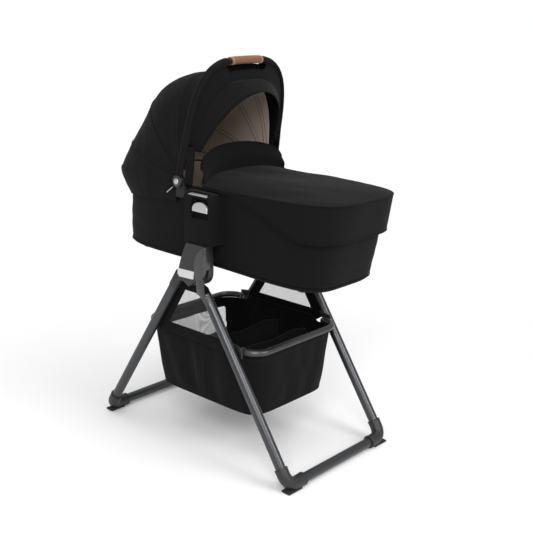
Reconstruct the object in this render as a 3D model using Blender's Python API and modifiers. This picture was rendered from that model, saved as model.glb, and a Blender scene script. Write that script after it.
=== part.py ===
"""Bassinet on a folding stand.

Two U-shaped leg frames cross at a pair of side hubs and carry a soft carrycot.  The foot frame
swings shut against the head frame, the two basket hoops fold flat along their legs, the carrycot
lifts off the hubs, and the canopy folds back on its bows.

X runs from the head (-X) to the foot (+X), Y across, Z up.  The origin is on the floor under the
middle of the whole object.  All sizes are in metres.
"""
import bmesh
import bpy
import math
from mathutils import Matrix, Vector

# Stand
HUB_X = -0.030          # where the leg centre lines cross, behind the middle of the whole length
LEG_Y = 0.216           # leg plane, either side of the middle
LEG_REACH = 0.4050      # from the crossing to where a leg's centre line meets the floor
APEX_Z = 0.607          # height of the crossing
LEG_R = 0.015
CORNER_Z = 0.020        # centre height of the floor bars and corner fittings
COLLAR_Z = 0.064        # where a leg goes into its corner fitting
FOLD_X = HUB_X + 0.030  # fold axis, just foot side of the crossing and under it
FOLD_Z = 0.570
GAP = 0.0003            # between pieces that touch

# Hub and leg top, measured across from the middle
HUB_IN_Y = LEG_Y - 0.0195    # face towards the carrycot
HUB_MID_Y = LEG_Y + 0.0005   # joint face between the hub and the swinging leg top
HUB_OUT_Y = LEG_Y + 0.0225
HUB_TOP_Z = 0.6510
BOSS_R = 0.038          # round underside of the hub, which the leg collar swings past
PIN_R = 0.008
LEG_TOP_Z = {-1: 0.532, 1: 0.528}    # where a leg ends in its hub or leg top
SOCKET_CLEAR = 0.0005   # between a leg's end and the bottom of its socket
TONGUE_X = (HUB_X - 0.006, HUB_X + 0.050)
TONGUE_Y = (HUB_IN_Y + 0.002, HUB_IN_Y + 0.014)
TONGUE_TOP_Z = 0.712

# Corner fittings
CORNER_R = 0.0190
CORNER_TURN = 0.036     # the bend starts this far from the corner
BAR_R = 0.0143          # floor bar
BAR_END = 0.045         # a floor bar stops this far inside the leg plane
BAR_MOUTH = 0.062       # how far the fitting reaches along the floor bar
LEG_IN_CORNER = 0.020   # depth of a leg in its fitting, by height
UNDERSIDE_Z = 0.0075    # flat underside of the fitting
SOLE_X = 0.019
SOLE_Y = (0.044, 0.017)     # sole, inside and outside the leg plane
SOLE_TOP_Z = UNDERSIDE_Z - GAP

# Basket
HOOP_Z = 0.355
HOOP_Y = LEG_Y - 0.032
HOOP_R = 0.010
PIN_OUT = 0.01186       # hoop pivots, outwards from the leg's centre line
HOOP_PIN = LEG_REACH * (1 - HOOP_Z / APEX_Z) + PIN_OUT      # hoop pivots, from the crossing
HOOP_END = HOOP_PIN + 0.056     # end bar, from the crossing
HOOP_BEND = 0.052
STUD_R = 0.0040
EYE_HALF = 0.0075       # half width of a hoop's eye
RIVET_R = 0.0075
BAG_FLOOR_Z = 0.150
BAG_HEM_Z = 0.368
BAG_THICK = 0.0035
DIVIDER_THICK = 0.004

# Carrycot
TUB_BASE_Z = 0.568
RIM_Z = 0.805
BASE_PLAN = (HUB_X + 0.007, 0.405, 0.155, 5.0)       # centre x, half length, half width, squareness
RIM_PLAN = (HUB_X + 0.0435, 0.4215, 0.1815, 4.2)
WALL = 0.009
TUB_SIDES = 48
TUB_BULGE = 0.0010       # the padded wall swells this much between base and rim
COVER_OUT = 0.0150      # how far the top cover's skirt stands outside the rim at the foot
ADAPTER = (HUB_X - 0.016, HUB_X + 0.096)             # x range of the side adapters
ADAPTER_Z = (HUB_TOP_Z + 0.0005, 0.798)
ADAPTER_OUT_Y = 0.226

# Canopy
PIVOT_X = HUB_X - 0.060
PIVOT_Z = 0.816
CANOPY_W = RIM_PLAN[2] + 0.0025     # half width of the fabric at the pivots
HINGE_Y = (CANOPY_W + 0.0028, CANOPY_W + 0.0120)        # hinge plates on the tub
BOSS_Y = (HINGE_Y[1] + GAP, HINGE_Y[1] + 0.0130)        # bosses at the arch's ends
CANOPY_PIN_R = 0.0045
CANOPY_PIN_Y = (CANOPY_W - 0.0135, CANOPY_W + 0.0175)
KNOB_R = 0.0115
KNOB_Y = (CANOPY_W + 0.0225, BOSS_Y[1] + 0.0035)
ARCH_TILT = 12.0        # degrees forward of upright
ARCH_W = CANOPY_W + 0.018
ARCH_H = 0.342
HEAD_REACH = 0.360      # canopy, from the pivot to the head end
RIBS = ((20, 0.296, 3.0), (8, 0.304, 3.0), (-15, 0.311, 2.9), (-36, 0.312, 2.9), (-50, 0.303, 3.0),
        (-64, 0.314, 3.2), (-77, 0.334, 3.6), (-90, HEAD_REACH, 4.0))   # degrees, reach, squareness


for old in list(bpy.data.objects):
    bpy.data.objects.remove(old, do_unlink=True)

MODEL = bpy.data.collections.new("bassinet_with_stand")
bpy.context.scene.collection.children.link(MODEL)
CUTTERS = bpy.data.collections.new("cutters")
bpy.context.scene.collection.children.link(CUTTERS)


# Materials

def material(name, colour, roughness, metallic=0.0):
    made = bpy.data.materials.new(name)
    made.use_nodes = True
    shader = made.node_tree.nodes["Principled BSDF"]
    shader.inputs["Base Color"].default_value = (*colour, 1.0)
    shader.inputs["Roughness"].default_value = roughness
    shader.inputs["Metallic"].default_value = metallic
    return made


GUNMETAL = material("gunmetal_tube", (0.045, 0.045, 0.048), 0.38, 0.8)
PLASTIC = material("dark_plastic", (0.035, 0.035, 0.038), 0.5)
RUBBER = material("sole_rubber", (0.012, 0.012, 0.012), 0.85)
STEEL = material("pivot_steel", (0.35, 0.35, 0.36), 0.35, 1.0)
CLOTH = material("black_cloth", (0.012, 0.010, 0.010), 0.9)
MESH = material("grey_mesh", (0.20, 0.20, 0.20), 0.8)
LINING = material("taupe_lining", (0.21, 0.18, 0.15), 0.9)
PADDING = material("mattress_cover", (0.55, 0.52, 0.48), 0.9)
LEATHER = material("tan_leather", (0.27, 0.11, 0.05), 0.55)
SILVER = material("silver_button", (0.55, 0.55, 0.56), 0.35, 0.7)


# Empties on the joint axes

def axis_empty(name, x, y, z):
    empty = bpy.data.objects.new(name, None)
    empty.location = (x, y, z)
    MODEL.objects.link(empty)
    return empty


HEAD_FRAME = axis_empty("head_frame_origin", HUB_X, 0, 0)
FOOT_FRAME = axis_empty("stand_fold_axis", FOLD_X, 0, FOLD_Z)
HEAD_HOOP = axis_empty("head_hoop_axis", HUB_X - HOOP_PIN, 0, HOOP_Z)
FOOT_HOOP = axis_empty("foot_hoop_axis", HUB_X + HOOP_PIN, 0, HOOP_Z)
COT = axis_empty("carrycot_seat", FOLD_X, 0, HUB_TOP_Z)
CANOPY_AXIS = axis_empty("canopy_axis", PIVOT_X, 0, PIVOT_Z)
COVER_SEAT = axis_empty("cover_seat", HUB_X + 0.25, 0, RIM_Z)


# Shape helpers

def as_mesh(bm, name):
    bmesh.ops.recalc_face_normals(bm, faces=bm.faces)
    mesh = bpy.data.meshes.new(name)
    bm.to_mesh(mesh)
    bm.free()
    return mesh


def add(name, mesh, look, carrier, smooth=35.0):
    """Put a finished mesh in the model, hung from the empty on its joint axis."""
    obj = bpy.data.objects.new(name, mesh)
    MODEL.objects.link(obj)
    mesh.transform(Matrix.Translation(-carrier.location))
    mesh.materials.append(look)
    mesh.shade_smooth()
    mesh.set_sharp_from_angle(angle=math.radians(smooth))
    obj.parent = carrier
    return obj


def cutter(name, mesh):
    obj = bpy.data.objects.new(name, mesh)
    CUTTERS.objects.link(obj)
    obj.hide_render = True
    obj.display_type = "WIRE"
    return obj


def boolean(obj, tool, operation="DIFFERENCE"):
    change = obj.modifiers.new(tool.name, "BOOLEAN")
    change.object = tool
    change.operation = operation
    change.solver = "EXACT"


def bevel(obj, width, segments=2, angle=40):
    change = obj.modifiers.new("rounded_edges", "BEVEL")
    change.width = width
    change.segments = segments
    change.limit_method = "ANGLE"
    change.angle_limit = math.radians(angle)


def box_mesh(name, x, y, z):
    """A box over three (low, high) ranges."""
    bm = bmesh.new()
    bmesh.ops.create_cube(bm, size=1.0)
    size = Vector((x[1] - x[0], y[1] - y[0], z[1] - z[0]))
    centre = Vector((x[0] + x[1], y[0] + y[1], z[0] + z[1])) / 2
    bmesh.ops.scale(bm, vec=size, verts=bm.verts)
    bmesh.ops.translate(bm, vec=centre, verts=bm.verts)
    return as_mesh(bm, name)


def rod_mesh(name, start, end, radius, sides=16, flat=1.0):
    """A round rod between two points; flat squashes its height."""
    start, end = Vector(start), Vector(end)
    along = end - start
    bm = bmesh.new()
    bmesh.ops.create_cone(bm, cap_ends=True, segments=sides, radius1=radius, radius2=radius,
                          depth=along.length)
    bmesh.ops.scale(bm, vec=(flat, 1.0, 1.0), verts=bm.verts)
    turn = along.to_track_quat("Z", "Y").to_matrix().to_4x4()
    bmesh.ops.transform(bm, matrix=Matrix.Translation((start + end) / 2) @ turn, verts=bm.verts)
    return as_mesh(bm, name)


def plate_mesh(name, outline, y0, y1):
    """An outline of (x, z) points extruded across from y0 to y1."""
    bm = bmesh.new()
    face = bm.faces.new([bm.verts.new((x, y0, z)) for x, z in outline])
    grown = bmesh.ops.extrude_face_region(bm, geom=[face])
    moved = [v for v in grown["geom"] if isinstance(v, bmesh.types.BMVert)]
    bmesh.ops.translate(bm, vec=(0, y1 - y0, 0), verts=moved)
    return as_mesh(bm, name)


def section_mesh(name, outline, x0, x1):
    """An outline of (y, z) points extruded along from x0 to x1."""
    bm = bmesh.new()
    face = bm.faces.new([bm.verts.new((x0, y, z)) for y, z in outline])
    grown = bmesh.ops.extrude_face_region(bm, geom=[face])
    moved = [v for v in grown["geom"] if isinstance(v, bmesh.types.BMVert)]
    bmesh.ops.translate(bm, vec=(x1 - x0, 0, 0), verts=moved)
    return as_mesh(bm, name)


def tube_mesh(name, points, radius, resolution=2, closed=False):
    """A bent tube: a poly curve with filled caps, turned into a mesh with its caps welded."""
    curve = bpy.data.curves.new(name, "CURVE")
    curve.dimensions = "3D"
    spline = curve.splines.new("POLY")
    spline.points.add(len(points) - 1)
    for target, point in zip(spline.points, points):
        target.co = (*point, 1.0)
    spline.use_cyclic_u = closed
    curve.bevel_depth = radius
    curve.bevel_resolution = resolution
    curve.use_fill_caps = True
    holder = bpy.data.objects.new(name, curve)
    MODEL.objects.link(holder)
    depsgraph = bpy.context.evaluated_depsgraph_get()
    mesh = bpy.data.meshes.new_from_object(holder.evaluated_get(depsgraph))
    bpy.data.objects.remove(holder, do_unlink=True)
    bm = bmesh.new()
    bm.from_mesh(mesh)
    bmesh.ops.remove_doubles(bm, verts=bm.verts, dist=0.00005)
    bpy.data.meshes.remove(mesh)
    return as_mesh(bm, name)


def loft_mesh(name, rings):
    """Closed rings with equal counts, skinned one to the next and capped at both ends."""
    bm = bmesh.new()
    rows = [[bm.verts.new(p) for p in ring] for ring in rings]
    for row, following in zip(rows, rows[1:]):
        for i in range(len(row)):
            j = (i + 1) % len(row)
            bm.faces.new((row[i], row[j], following[j], following[i]))
    bm.faces.new(rows[0])
    bm.faces.new(rows[-1])
    return as_mesh(bm, name)


def sheet_mesh(name, rows, thickness):
    """An open grid of points thickened to one side: the side away from the grid's normals."""
    bm = bmesh.new()
    grid = [[bm.verts.new(p) for p in row] for row in rows]
    for row, following in zip(grid, grid[1:]):
        for i in range(len(row) - 1):
            bm.faces.new((row[i], row[i + 1], following[i + 1], following[i]))
    bm.normal_update()
    outer = [v.co.copy() for v in bm.verts]
    inner = [v.co - v.normal * thickness for v in bm.verts]
    count = len(rows[0])
    bm.verts.index_update()
    faces = [[v.index for v in f.verts] for f in bm.faces]
    bm.free()
    bm = bmesh.new()
    top = [bm.verts.new(p) for p in outer]
    under = [bm.verts.new(p) for p in inner]
    for face in faces:
        bm.faces.new([top[i] for i in face])
        bm.faces.new([under[i] for i in reversed(face)])
    last = (len(rows) - 1) * count
    border = list(range(count))
    border += [r * count + count - 1 for r in range(1, len(rows))]
    border += [last + c for c in range(count - 2, -1, -1)]
    border += [r * count for r in range(len(rows) - 2, 0, -1)]
    for i, j in zip(border, border[1:] + border[:1]):
        bm.faces.new((top[i], under[i], under[j], top[j]))
    return as_mesh(bm, name)


def squircle(angle, half_length, half_width, power):
    """A point of the rounded plan outline |x/a|^n + |y/b|^n = 1."""
    c, s = math.cos(angle), math.sin(angle)
    x = half_length * math.copysign(abs(c) ** (2 / power), c)
    y = half_width * math.copysign(abs(s) ** (2 / power), s)
    return x, y


def even_turns(half_length, half_width, power, count):
    """Angles that space the points of a plan outline evenly along it."""
    fine = [2 * math.pi * i / 8000 for i in range(8001)]
    points = [squircle(a, half_length, half_width, power) for a in fine]
    lengths = [0.0]
    for (x0, y0), (x1, y1) in zip(points, points[1:]):
        lengths.append(lengths[-1] + math.hypot(x1 - x0, y1 - y0))
    turns = []
    k = 0
    for i in range(count):
        wanted = lengths[-1] * i / count
        while lengths[k + 1] < wanted:
            k += 1
        share = (wanted - lengths[k]) / (lengths[k + 1] - lengths[k])
        turns.append(fine[k] + (fine[k + 1] - fine[k]) * share)
    return turns


TUB_TURNS = even_turns(*RIM_PLAN[1:], TUB_SIDES)


def plan_ring(plan, z, grow=0.0, share=1.0):
    """One closed ring of the carrycot's plan; share shrinks it towards its centre."""
    centre, length, width, power = plan
    ring = []
    for turn in TUB_TURNS:
        x, y = squircle(turn, (length + grow) * share, (width + grow) * share, power)
        ring.append((centre + x, y, z))
    return ring


def mix(low, high, share):
    return tuple(a + (b - a) * share for a, b in zip(low, high))


def tub_plan(z):
    """Plan of the carrycot's outer wall at a height: it widens from the base to the rim."""
    share = min(1.0, max(0.0, (z - TUB_BASE_Z) / (RIM_Z - TUB_BASE_Z)))
    return mix(BASE_PLAN, RIM_PLAN, share)


def tub_y(z):
    return tub_plan(z)[2]


def leg_x(end, z):
    """X of a leg's centre line at a height: end is -1 at the head and 1 at the foot."""
    return HUB_X + end * LEG_REACH * (1 - z / APEX_Z)


def across(side, low, high):
    """A range across, on the near (-1) or far (1) side."""
    return sorted((side * low, side * high))


def arc(cx, cz, radius, start, stop, steps):
    points = []
    for i in range(steps + 1):
        a = math.radians(start + (stop - start) * i / steps)
        points.append((cx + radius * math.cos(a), cz + radius * math.sin(a)))
    return points


SIDES = (("near", -1), ("far", 1))
ENDS = (("head", -1, HEAD_FRAME), ("foot", 1, FOOT_FRAME))
LEG_DIR = {end: Vector((-end * LEG_REACH, 0, APEX_Z)).normalized() for end in (-1, 1)}


# Legs, floor bars, corner fittings and soles

def corner_path(end, side):
    """Centre line of a corner fitting: down the leg, round the corner, along the floor bar."""
    foot = Vector((leg_x(end, CORNER_Z), side * LEG_Y, CORNER_Z))
    collar = Vector((leg_x(end, COLLAR_Z), side * LEG_Y, COLLAR_Z))
    mouth = foot + Vector((0, -side * BAR_MOUTH, 0))
    first = foot + (collar - foot).normalized() * CORNER_TURN
    last = foot + (mouth - foot).normalized() * CORNER_TURN
    path = [collar]
    for i in range(6):
        t = i / 5
        path.append(first * (1 - t) ** 2 + foot * (2 * t * (1 - t)) + last * t ** 2)
    path.append(mouth)
    return path


for end_name, end, frame in ENDS:
    for side_name, side in SIDES:
        tag = end_name + "_" + side_name
        y = side * LEG_Y
        foot_z = COLLAR_Z - LEG_IN_CORNER
        top_z = LEG_TOP_Z[end]
        add("leg_" + tag, rod_mesh("leg", (leg_x(end, foot_z), y, foot_z), (leg_x(end, top_z), y, top_z),
                                   LEG_R), GUNMETAL, frame)

        corner = add("corner_" + tag, tube_mesh("corner", corner_path(end, side), CORNER_R, 3), PLASTIC,
                     frame)
        x = leg_x(end, CORNER_Z)
        boolean(corner, cutter("under_" + tag, box_mesh("under", (x - 0.06, x + 0.06), (y - 0.1, y + 0.1),
                                                        (-0.05, UNDERSIDE_Z))))
        low, high = foot_z - GAP, COLLAR_Z + LEG_IN_CORNER
        boolean(corner, cutter("leg_socket_" + tag,
                               rod_mesh("leg_socket", (leg_x(end, low), y, low),
                                        (leg_x(end, high), y, high), LEG_R + GAP)))
        socket_end = side * (LEG_Y - BAR_END + GAP)
        open_end = side * (LEG_Y - BAR_MOUTH - CORNER_R)
        boolean(corner, cutter("bar_socket_" + tag,
                               rod_mesh("bar_socket", (x, socket_end, CORNER_Z), (x, open_end, CORNER_Z),
                                        BAR_R + GAP)))

        sole_y = sorted((y + side * SOLE_Y[1], y - side * SOLE_Y[0]))
        sole = add("sole_" + tag, box_mesh("sole", (x - SOLE_X, x + SOLE_X), sole_y, (0.0, SOLE_TOP_Z)),
                   RUBBER, frame)
        bevel(sole, 0.004, 2)

    x = leg_x(end, CORNER_Z)
    reach = LEG_Y - BAR_END
    add("floor_bar_" + end_name, rod_mesh("floor_bar", (x, -reach, CORNER_Z), (x, reach, CORNER_Z), BAR_R),
        GUNMETAL, frame)


# Hubs on the head frame, with the upright tongues that the carrycot drops over

def along_leg(end, z, offset):
    """A point at a height on a leg's line, set off square to the line and away from the middle."""
    direction = LEG_DIR[end]
    square = Vector((end * direction.z, 0, abs(direction.x)))
    point = Vector((leg_x(end, z), 0, z)) + square * offset
    return point.x, point.z


HEAD_COLLAR = 0.0195     # half width of the hub's socket for the head leg
FOOT_COLLAR = 0.0175     # half width of the swinging leg's collar
hub_left = [along_leg(-1, 0.520, HEAD_COLLAR), (HUB_X - 0.052, 0.590), (HUB_X - 0.034, HUB_TOP_Z)]
collar_low = along_leg(-1, 0.520, -HEAD_COLLAR)
collar_high = along_leg(-1, 0.575, -HEAD_COLLAR)
boss = arc(FOLD_X, FOLD_Z, BOSS_R, 5, -148, 10)
hub_outline = ([(HUB_X + 0.058, HUB_TOP_Z)] + boss + [collar_high, collar_low] + hub_left)

LEAF_TIP = (HUB_X + 0.055, HUB_TOP_Z - 0.003)
leaf_left = [(HUB_X + 0.033, 0.628), (HUB_X + 0.014, 0.602), (HUB_X + 0.0085, 0.583)]
leaf_right = [(HUB_X + 0.062, 0.585), (HUB_X + 0.063, 0.615)]
LEAF_GAP = 0.0018
cheek_outline = ([(LEAF_TIP[0] - 0.004, HUB_TOP_Z)] + [(x - LEAF_GAP, z) for x, z in leaf_left[:2]]
                 + [along_leg(-1, 0.580, -0.0198), collar_low] + hub_left)

for side_name, side in SIDES:
    hub = add("hub_" + side_name, plate_mesh("hub", hub_outline, *across(side, HUB_IN_Y, HUB_MID_Y)), PLASTIC,
              HEAD_FRAME)
    cheek = cutter("cheek_" + side_name, plate_mesh("cheek", cheek_outline,
                                                    *across(side, HUB_MID_Y - 0.002, HUB_OUT_Y)))
    boolean(hub, cheek, "UNION")
    tongue = cutter("tongue_" + side_name, box_mesh("tongue", TONGUE_X, across(side, *TONGUE_Y),
                                                    (HUB_TOP_Z - 0.02, TONGUE_TOP_Z)))
    boolean(hub, tongue, "UNION")
    bevel(hub, 0.0020, 1)
    high_z = LEG_TOP_Z[-1] + SOCKET_CLEAR
    socket = cutter("hub_socket_" + side_name,
                    rod_mesh("hub_socket", (leg_x(-1, 0.45), side * LEG_Y, 0.45),
                             (leg_x(-1, high_z), side * LEG_Y, high_z), LEG_R + GAP))
    boolean(hub, socket)
    hole = cutter("hub_hole_" + side_name,
                  rod_mesh("hub_hole", (FOLD_X, side * (HUB_IN_Y - 0.01), FOLD_Z),
                           (FOLD_X, side * (HUB_OUT_Y + 0.01), FOLD_Z), PIN_R + GAP, 20))
    boolean(hub, hole)

    # Swinging leg top: a leaf-shaped plate over the fold pin with a round collar for the leg
    leaf_foot = arc(FOLD_X, FOLD_Z, 0.0215, 0, -150, 8)
    leaf_outline = [LEAF_TIP] + leaf_right[::-1] + leaf_foot + leaf_left[::-1]
    leaf_y = across(side, HUB_MID_Y + GAP, HUB_OUT_Y)
    leaf = add("leg_top_" + side_name, plate_mesh("leg_top", leaf_outline, *leaf_y), PLASTIC, FOOT_FRAME)
    low_z, high_z = 0.498, 0.5335
    collar = cutter("collar_" + side_name, rod_mesh("collar", (leg_x(1, low_z), side * LEG_Y, low_z),
                                                    (leg_x(1, high_z), side * LEG_Y, high_z),
                                                    FOOT_COLLAR, 20))
    boolean(leaf, collar, "UNION")
    web = [along_leg(1, 0.512, FOOT_COLLAR - 0.001), along_leg(1, 0.512, 0.001 - FOOT_COLLAR),
           along_leg(1, 0.570, 0.001 - FOOT_COLLAR), along_leg(1, 0.570, FOOT_COLLAR - 0.001)]
    neck_y = across(side, HUB_MID_Y + GAP, HUB_OUT_Y - 0.003)
    neck = cutter("neck_" + side_name, plate_mesh("neck", web, *neck_y))
    boolean(leaf, neck, "UNION")
    pocket = cutter("pin_pocket_" + side_name,
                    rod_mesh("pin_pocket", (FOLD_X, side * HUB_IN_Y, FOLD_Z),
                             (FOLD_X, side * (HUB_OUT_Y - 0.004), FOLD_Z), PIN_R + GAP, 20))
    boolean(leaf, pocket)
    high_z = LEG_TOP_Z[1] + SOCKET_CLEAR
    socket = cutter("leg_top_socket_" + side_name,
                    rod_mesh("leg_top_socket", (leg_x(1, 0.45), side * LEG_Y, 0.45),
                             (leg_x(1, high_z), side * LEG_Y, high_z), LEG_R + GAP))
    boolean(leaf, socket)
    bevel(leaf, 0.0015, 1, 50)

    add("fold_pin_" + side_name, rod_mesh("fold_pin", (FOLD_X, side * (HUB_IN_Y - 0.002), FOLD_Z),
                                          (FOLD_X, side * (HUB_OUT_Y - 0.0045), FOLD_Z), PIN_R, 20),
        STEEL, HEAD_FRAME)


# Basket hoops: a bent tube at each end, hinged on brackets inside the legs

def hoop_path(end):
    """From one pivot out along the side, round the end, and back to the other pivot."""
    bend = HOOP_BEND
    corner_x = HUB_X + end * HOOP_END
    path = [(HUB_X + end * HOOP_PIN, -HOOP_Y, HOOP_Z)]
    for cy, start, stop in ((-HOOP_Y + bend, -90, 0), (HOOP_Y - bend, 0, 90)):
        for i in range(7):
            a = math.radians(start + (stop - start) * i / 6)
            path.append((corner_x - end * bend + end * bend * math.cos(a), cy + bend * math.sin(a), HOOP_Z))
    path.append((HUB_X + end * HOOP_PIN, HOOP_Y, HOOP_Z))
    return path


for end_name, end, frame in ENDS:
    carrier = HEAD_HOOP if end < 0 else FOOT_HOOP
    hoop = add("hoop_" + end_name, tube_mesh("hoop", hoop_path(end), HOOP_R, 2), GUNMETAL, carrier)
    pin_x = HUB_X + end * HOOP_PIN
    for side_name, side in SIDES:
        tag = end_name + "_" + side_name
        y = side * HOOP_Y
        eye = cutter("eye_" + tag, rod_mesh("eye", (pin_x, y - EYE_HALF, HOOP_Z),
                                            (pin_x, y + EYE_HALF, HOOP_Z), HOOP_R, 20))
        boolean(hoop, eye, "UNION")
        eye_hole = cutter("eye_hole_" + tag, rod_mesh("eye_hole", (pin_x, y - 2 * HOOP_R, HOOP_Z),
                                                      (pin_x, y + 2 * HOOP_R, HOOP_Z), STUD_R + GAP, 12))
        boolean(hoop, eye_hole)
        for face_name, face in (("in", -1), ("out", 1)):
            flat = cutter("eye_flat_%s_%s" % (face_name, tag),
                          rod_mesh("eye_flat", (pin_x, y + face * EYE_HALF, HOOP_Z),
                                   (pin_x, y + face * 2 * HOOP_R, HOOP_Z), HOOP_R + 0.0012, 20))
            boolean(hoop, flat)

        # Bracket: a plate on the leg's inner side with the hoop's pivot stud and its head
        pin_side = pin_x + end * 0.014
        leg_high = leg_x(end, HOOP_Z + 0.022) - end * 0.004
        leg_low = leg_x(end, HOOP_Z - 0.022) - end * 0.004
        outline = [(pin_side, HOOP_Z - 0.016), (pin_side, HOOP_Z + 0.016), (leg_high, HOOP_Z + 0.022),
                   (leg_low, HOOP_Z - 0.022)]
        plate_in = HOOP_Y + 0.011
        bracket = add("bracket_" + tag,
                      plate_mesh("bracket", outline, *across(side, plate_in, LEG_Y - LEG_R - GAP)),
                      PLASTIC, frame)
        bevel(bracket, 0.0015, 2)
        stud = cutter("stud_" + tag, rod_mesh("stud", (pin_x, side * (HOOP_Y - EYE_HALF - 0.002), HOOP_Z),
                                              (pin_x, side * (plate_in + 0.002), HOOP_Z), STUD_R, 12))
        boolean(bracket, stud, "UNION")
        rivet_in = HOOP_Y - EYE_HALF - 0.0005
        rivet = cutter("rivet_" + tag, rod_mesh("rivet", (pin_x, side * (rivet_in - 0.002), HOOP_Z),
                                                (pin_x, side * rivet_in, HOOP_Z), RIVET_R, 12))
        boolean(bracket, rivet, "UNION")


# Basket bag, hung under the hoops, with its hem raised between the legs

BAG_POWER = 7.0
BAG_FOLDS = 15           # soft upright folds round the wall
BAG_WAVE = 0.014
BAG_LENGTH = HOOP_END        # half length at the hem
BAG_WIDTH = HOOP_Y + 0.002
BAG_TAPER = (0.036, 0.026)   # the floor is shorter and narrower than the hem by these
BAG_TURNS = even_turns(BAG_LENGTH, BAG_WIDTH, BAG_POWER, 4 * BAG_FOLDS)


def bag_ring(z, share, grow):
    """One ring of the bag's wall: share runs from 0 at the floor to 1 at the hem."""
    half_length = BAG_LENGTH - BAG_TAPER[0] * (1 - share) + grow
    half_width = BAG_WIDTH - BAG_TAPER[1] * (1 - share) + grow
    ring = []
    for i, turn in enumerate(BAG_TURNS):
        x, y = squircle(turn, half_length, half_width, BAG_POWER)
        fold = 1 + BAG_WAVE * math.sin(math.pi / 2 * i) * math.sin(math.pi * share)
        ring.append((HUB_X + x * fold, y * fold, z))
    return ring


def hem_lift(x):
    """The hem stands higher between the legs, where there is no hoop over it."""
    from_end = (HOOP_PIN - 0.026 - abs(x - HUB_X)) / 0.024
    return min(1.0, max(0.0, from_end))


BAG_TOP_Z = HOOP_Z - HOOP_R - 0.0006


def bag_rings(grow, floor_z, shares):
    rings = []
    for share in shares:
        z = floor_z + (BAG_TOP_Z - floor_z) * share
        ring = bag_ring(z, share, grow)
        if share == 1.0:
            ring = [(x, y, z + hem_lift(x) * (BAG_HEM_Z - BAG_TOP_Z)) for x, y, z in ring]
        rings.append(ring)
    return rings


shares = (0.0, 0.06, 0.3, 0.55, 0.8, 1.0)
outer = bag_rings(0.0, BAG_FLOOR_Z, shares)
inner = bag_rings(-BAG_THICK, BAG_FLOOR_Z + BAG_THICK, shares)
outer[0] = [(HUB_X + (x - HUB_X) * 0.96, y * 0.95, z) for x, y, z in outer[0]]
inner[0] = [(HUB_X + (x - HUB_X) * 0.96, y * 0.95, z) for x, y, z in inner[0]]
add("basket_bag", loft_mesh("basket_bag", outer + inner[::-1]), CLOTH, HEAD_FRAME)

low_half = BAG_WIDTH - 0.046     # half width of a divider at the floor and at its top
top_half = BAG_WIDTH - 0.018
for number, x in enumerate((HUB_X, HUB_X + 0.120), start=1):
    floor_z = BAG_FLOOR_Z + BAG_THICK + GAP
    panel = [(-low_half, floor_z), (low_half, floor_z), (top_half, 0.318), (0.105, 0.330), (0.0, 0.322),
             (-0.105, 0.330), (-top_half, 0.318)]
    add("divider_%d" % number, section_mesh("divider", panel, x, x + DIVIDER_THICK), CLOTH, HEAD_FRAME)

NET_TOP_Z = 0.488
NET_THICK = 0.0015
for side_name, side in SIDES:
    low = BAG_HEM_Z + 0.0005
    inset = 0.004            # from the legs' centre lines
    hem_inset = 0.022
    triangle = [(leg_x(-1, low) + hem_inset, low), (leg_x(1, low) - hem_inset, low),
                (leg_x(1, NET_TOP_Z) - inset, NET_TOP_Z), (leg_x(-1, NET_TOP_Z) + inset, NET_TOP_Z)]
    face = LEG_Y - LEG_R - GAP
    add("side_mesh_" + side_name, plate_mesh("side_mesh", triangle, *across(side, face - NET_THICK, face)),
        MESH, HEAD_FRAME)


# Carrycot tub: padded wall round an open hollow

def tub_ring(z, grow):
    return plan_ring(tub_plan(z), z, grow)


edge = 0.014
rim_edge = 0.003
outer = [plan_ring(BASE_PLAN, TUB_BASE_Z, -edge), tub_ring(TUB_BASE_Z + edge * 0.3, -edge * 0.3),
         tub_ring(TUB_BASE_Z + edge, 0), tub_ring(0.65, TUB_BULGE), tub_ring(0.73, TUB_BULGE),
         tub_ring(RIM_Z - rim_edge, 0), tub_ring(RIM_Z, -rim_edge)]
FLOOR_Z = TUB_BASE_Z + 0.014
WAIST_Z = 0.68
inner = [tub_ring(RIM_Z, rim_edge - WALL), tub_ring(RIM_Z - rim_edge, -WALL), tub_ring(WAIST_Z, -WALL),
         tub_ring(FLOOR_Z + 0.006, -WALL), plan_ring(BASE_PLAN, FLOOR_Z, -WALL - 0.006)]
add("tub", loft_mesh("tub", outer + inner), CLOTH, COT)

lining_out = WALL + 0.0010
lining_in = lining_out + 0.0025
low_z = FLOOR_Z + 0.0008
outer = [plan_ring(BASE_PLAN, low_z, -lining_out - 0.008), tub_ring(low_z + 0.010, -lining_out),
         tub_ring(WAIST_Z, -lining_out), tub_ring(RIM_Z - 0.004, -lining_out)]
inner = [tub_ring(RIM_Z - 0.004, -lining_in), tub_ring(WAIST_Z, -lining_in),
         tub_ring(low_z + 0.012, -lining_in), plan_ring(BASE_PLAN, low_z + 0.0025, -lining_in - 0.008)]
add("inner_lining", loft_mesh("inner_lining", outer + inner), LINING, COT)

# Mattress: crowned on top, its sides drawn in over a piped edge
bed = low_z + 0.0032
pad_in = -lining_in - 0.004
rings = [plan_ring(BASE_PLAN, bed, pad_in - 0.016), plan_ring(BASE_PLAN, bed + 0.006, pad_in - 0.006),
         plan_ring(BASE_PLAN, bed + 0.016, pad_in - 0.009), plan_ring(BASE_PLAN, bed + 0.026, pad_in - 0.006),
         plan_ring(BASE_PLAN, bed + 0.032, pad_in - 0.014),
         plan_ring(BASE_PLAN, bed + 0.037, pad_in - 0.034, 0.85),
         plan_ring(BASE_PLAN, bed + 0.041, pad_in - 0.034, 0.5)]
add("mattress", loft_mesh("mattress", rings), PADDING, COT)

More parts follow.
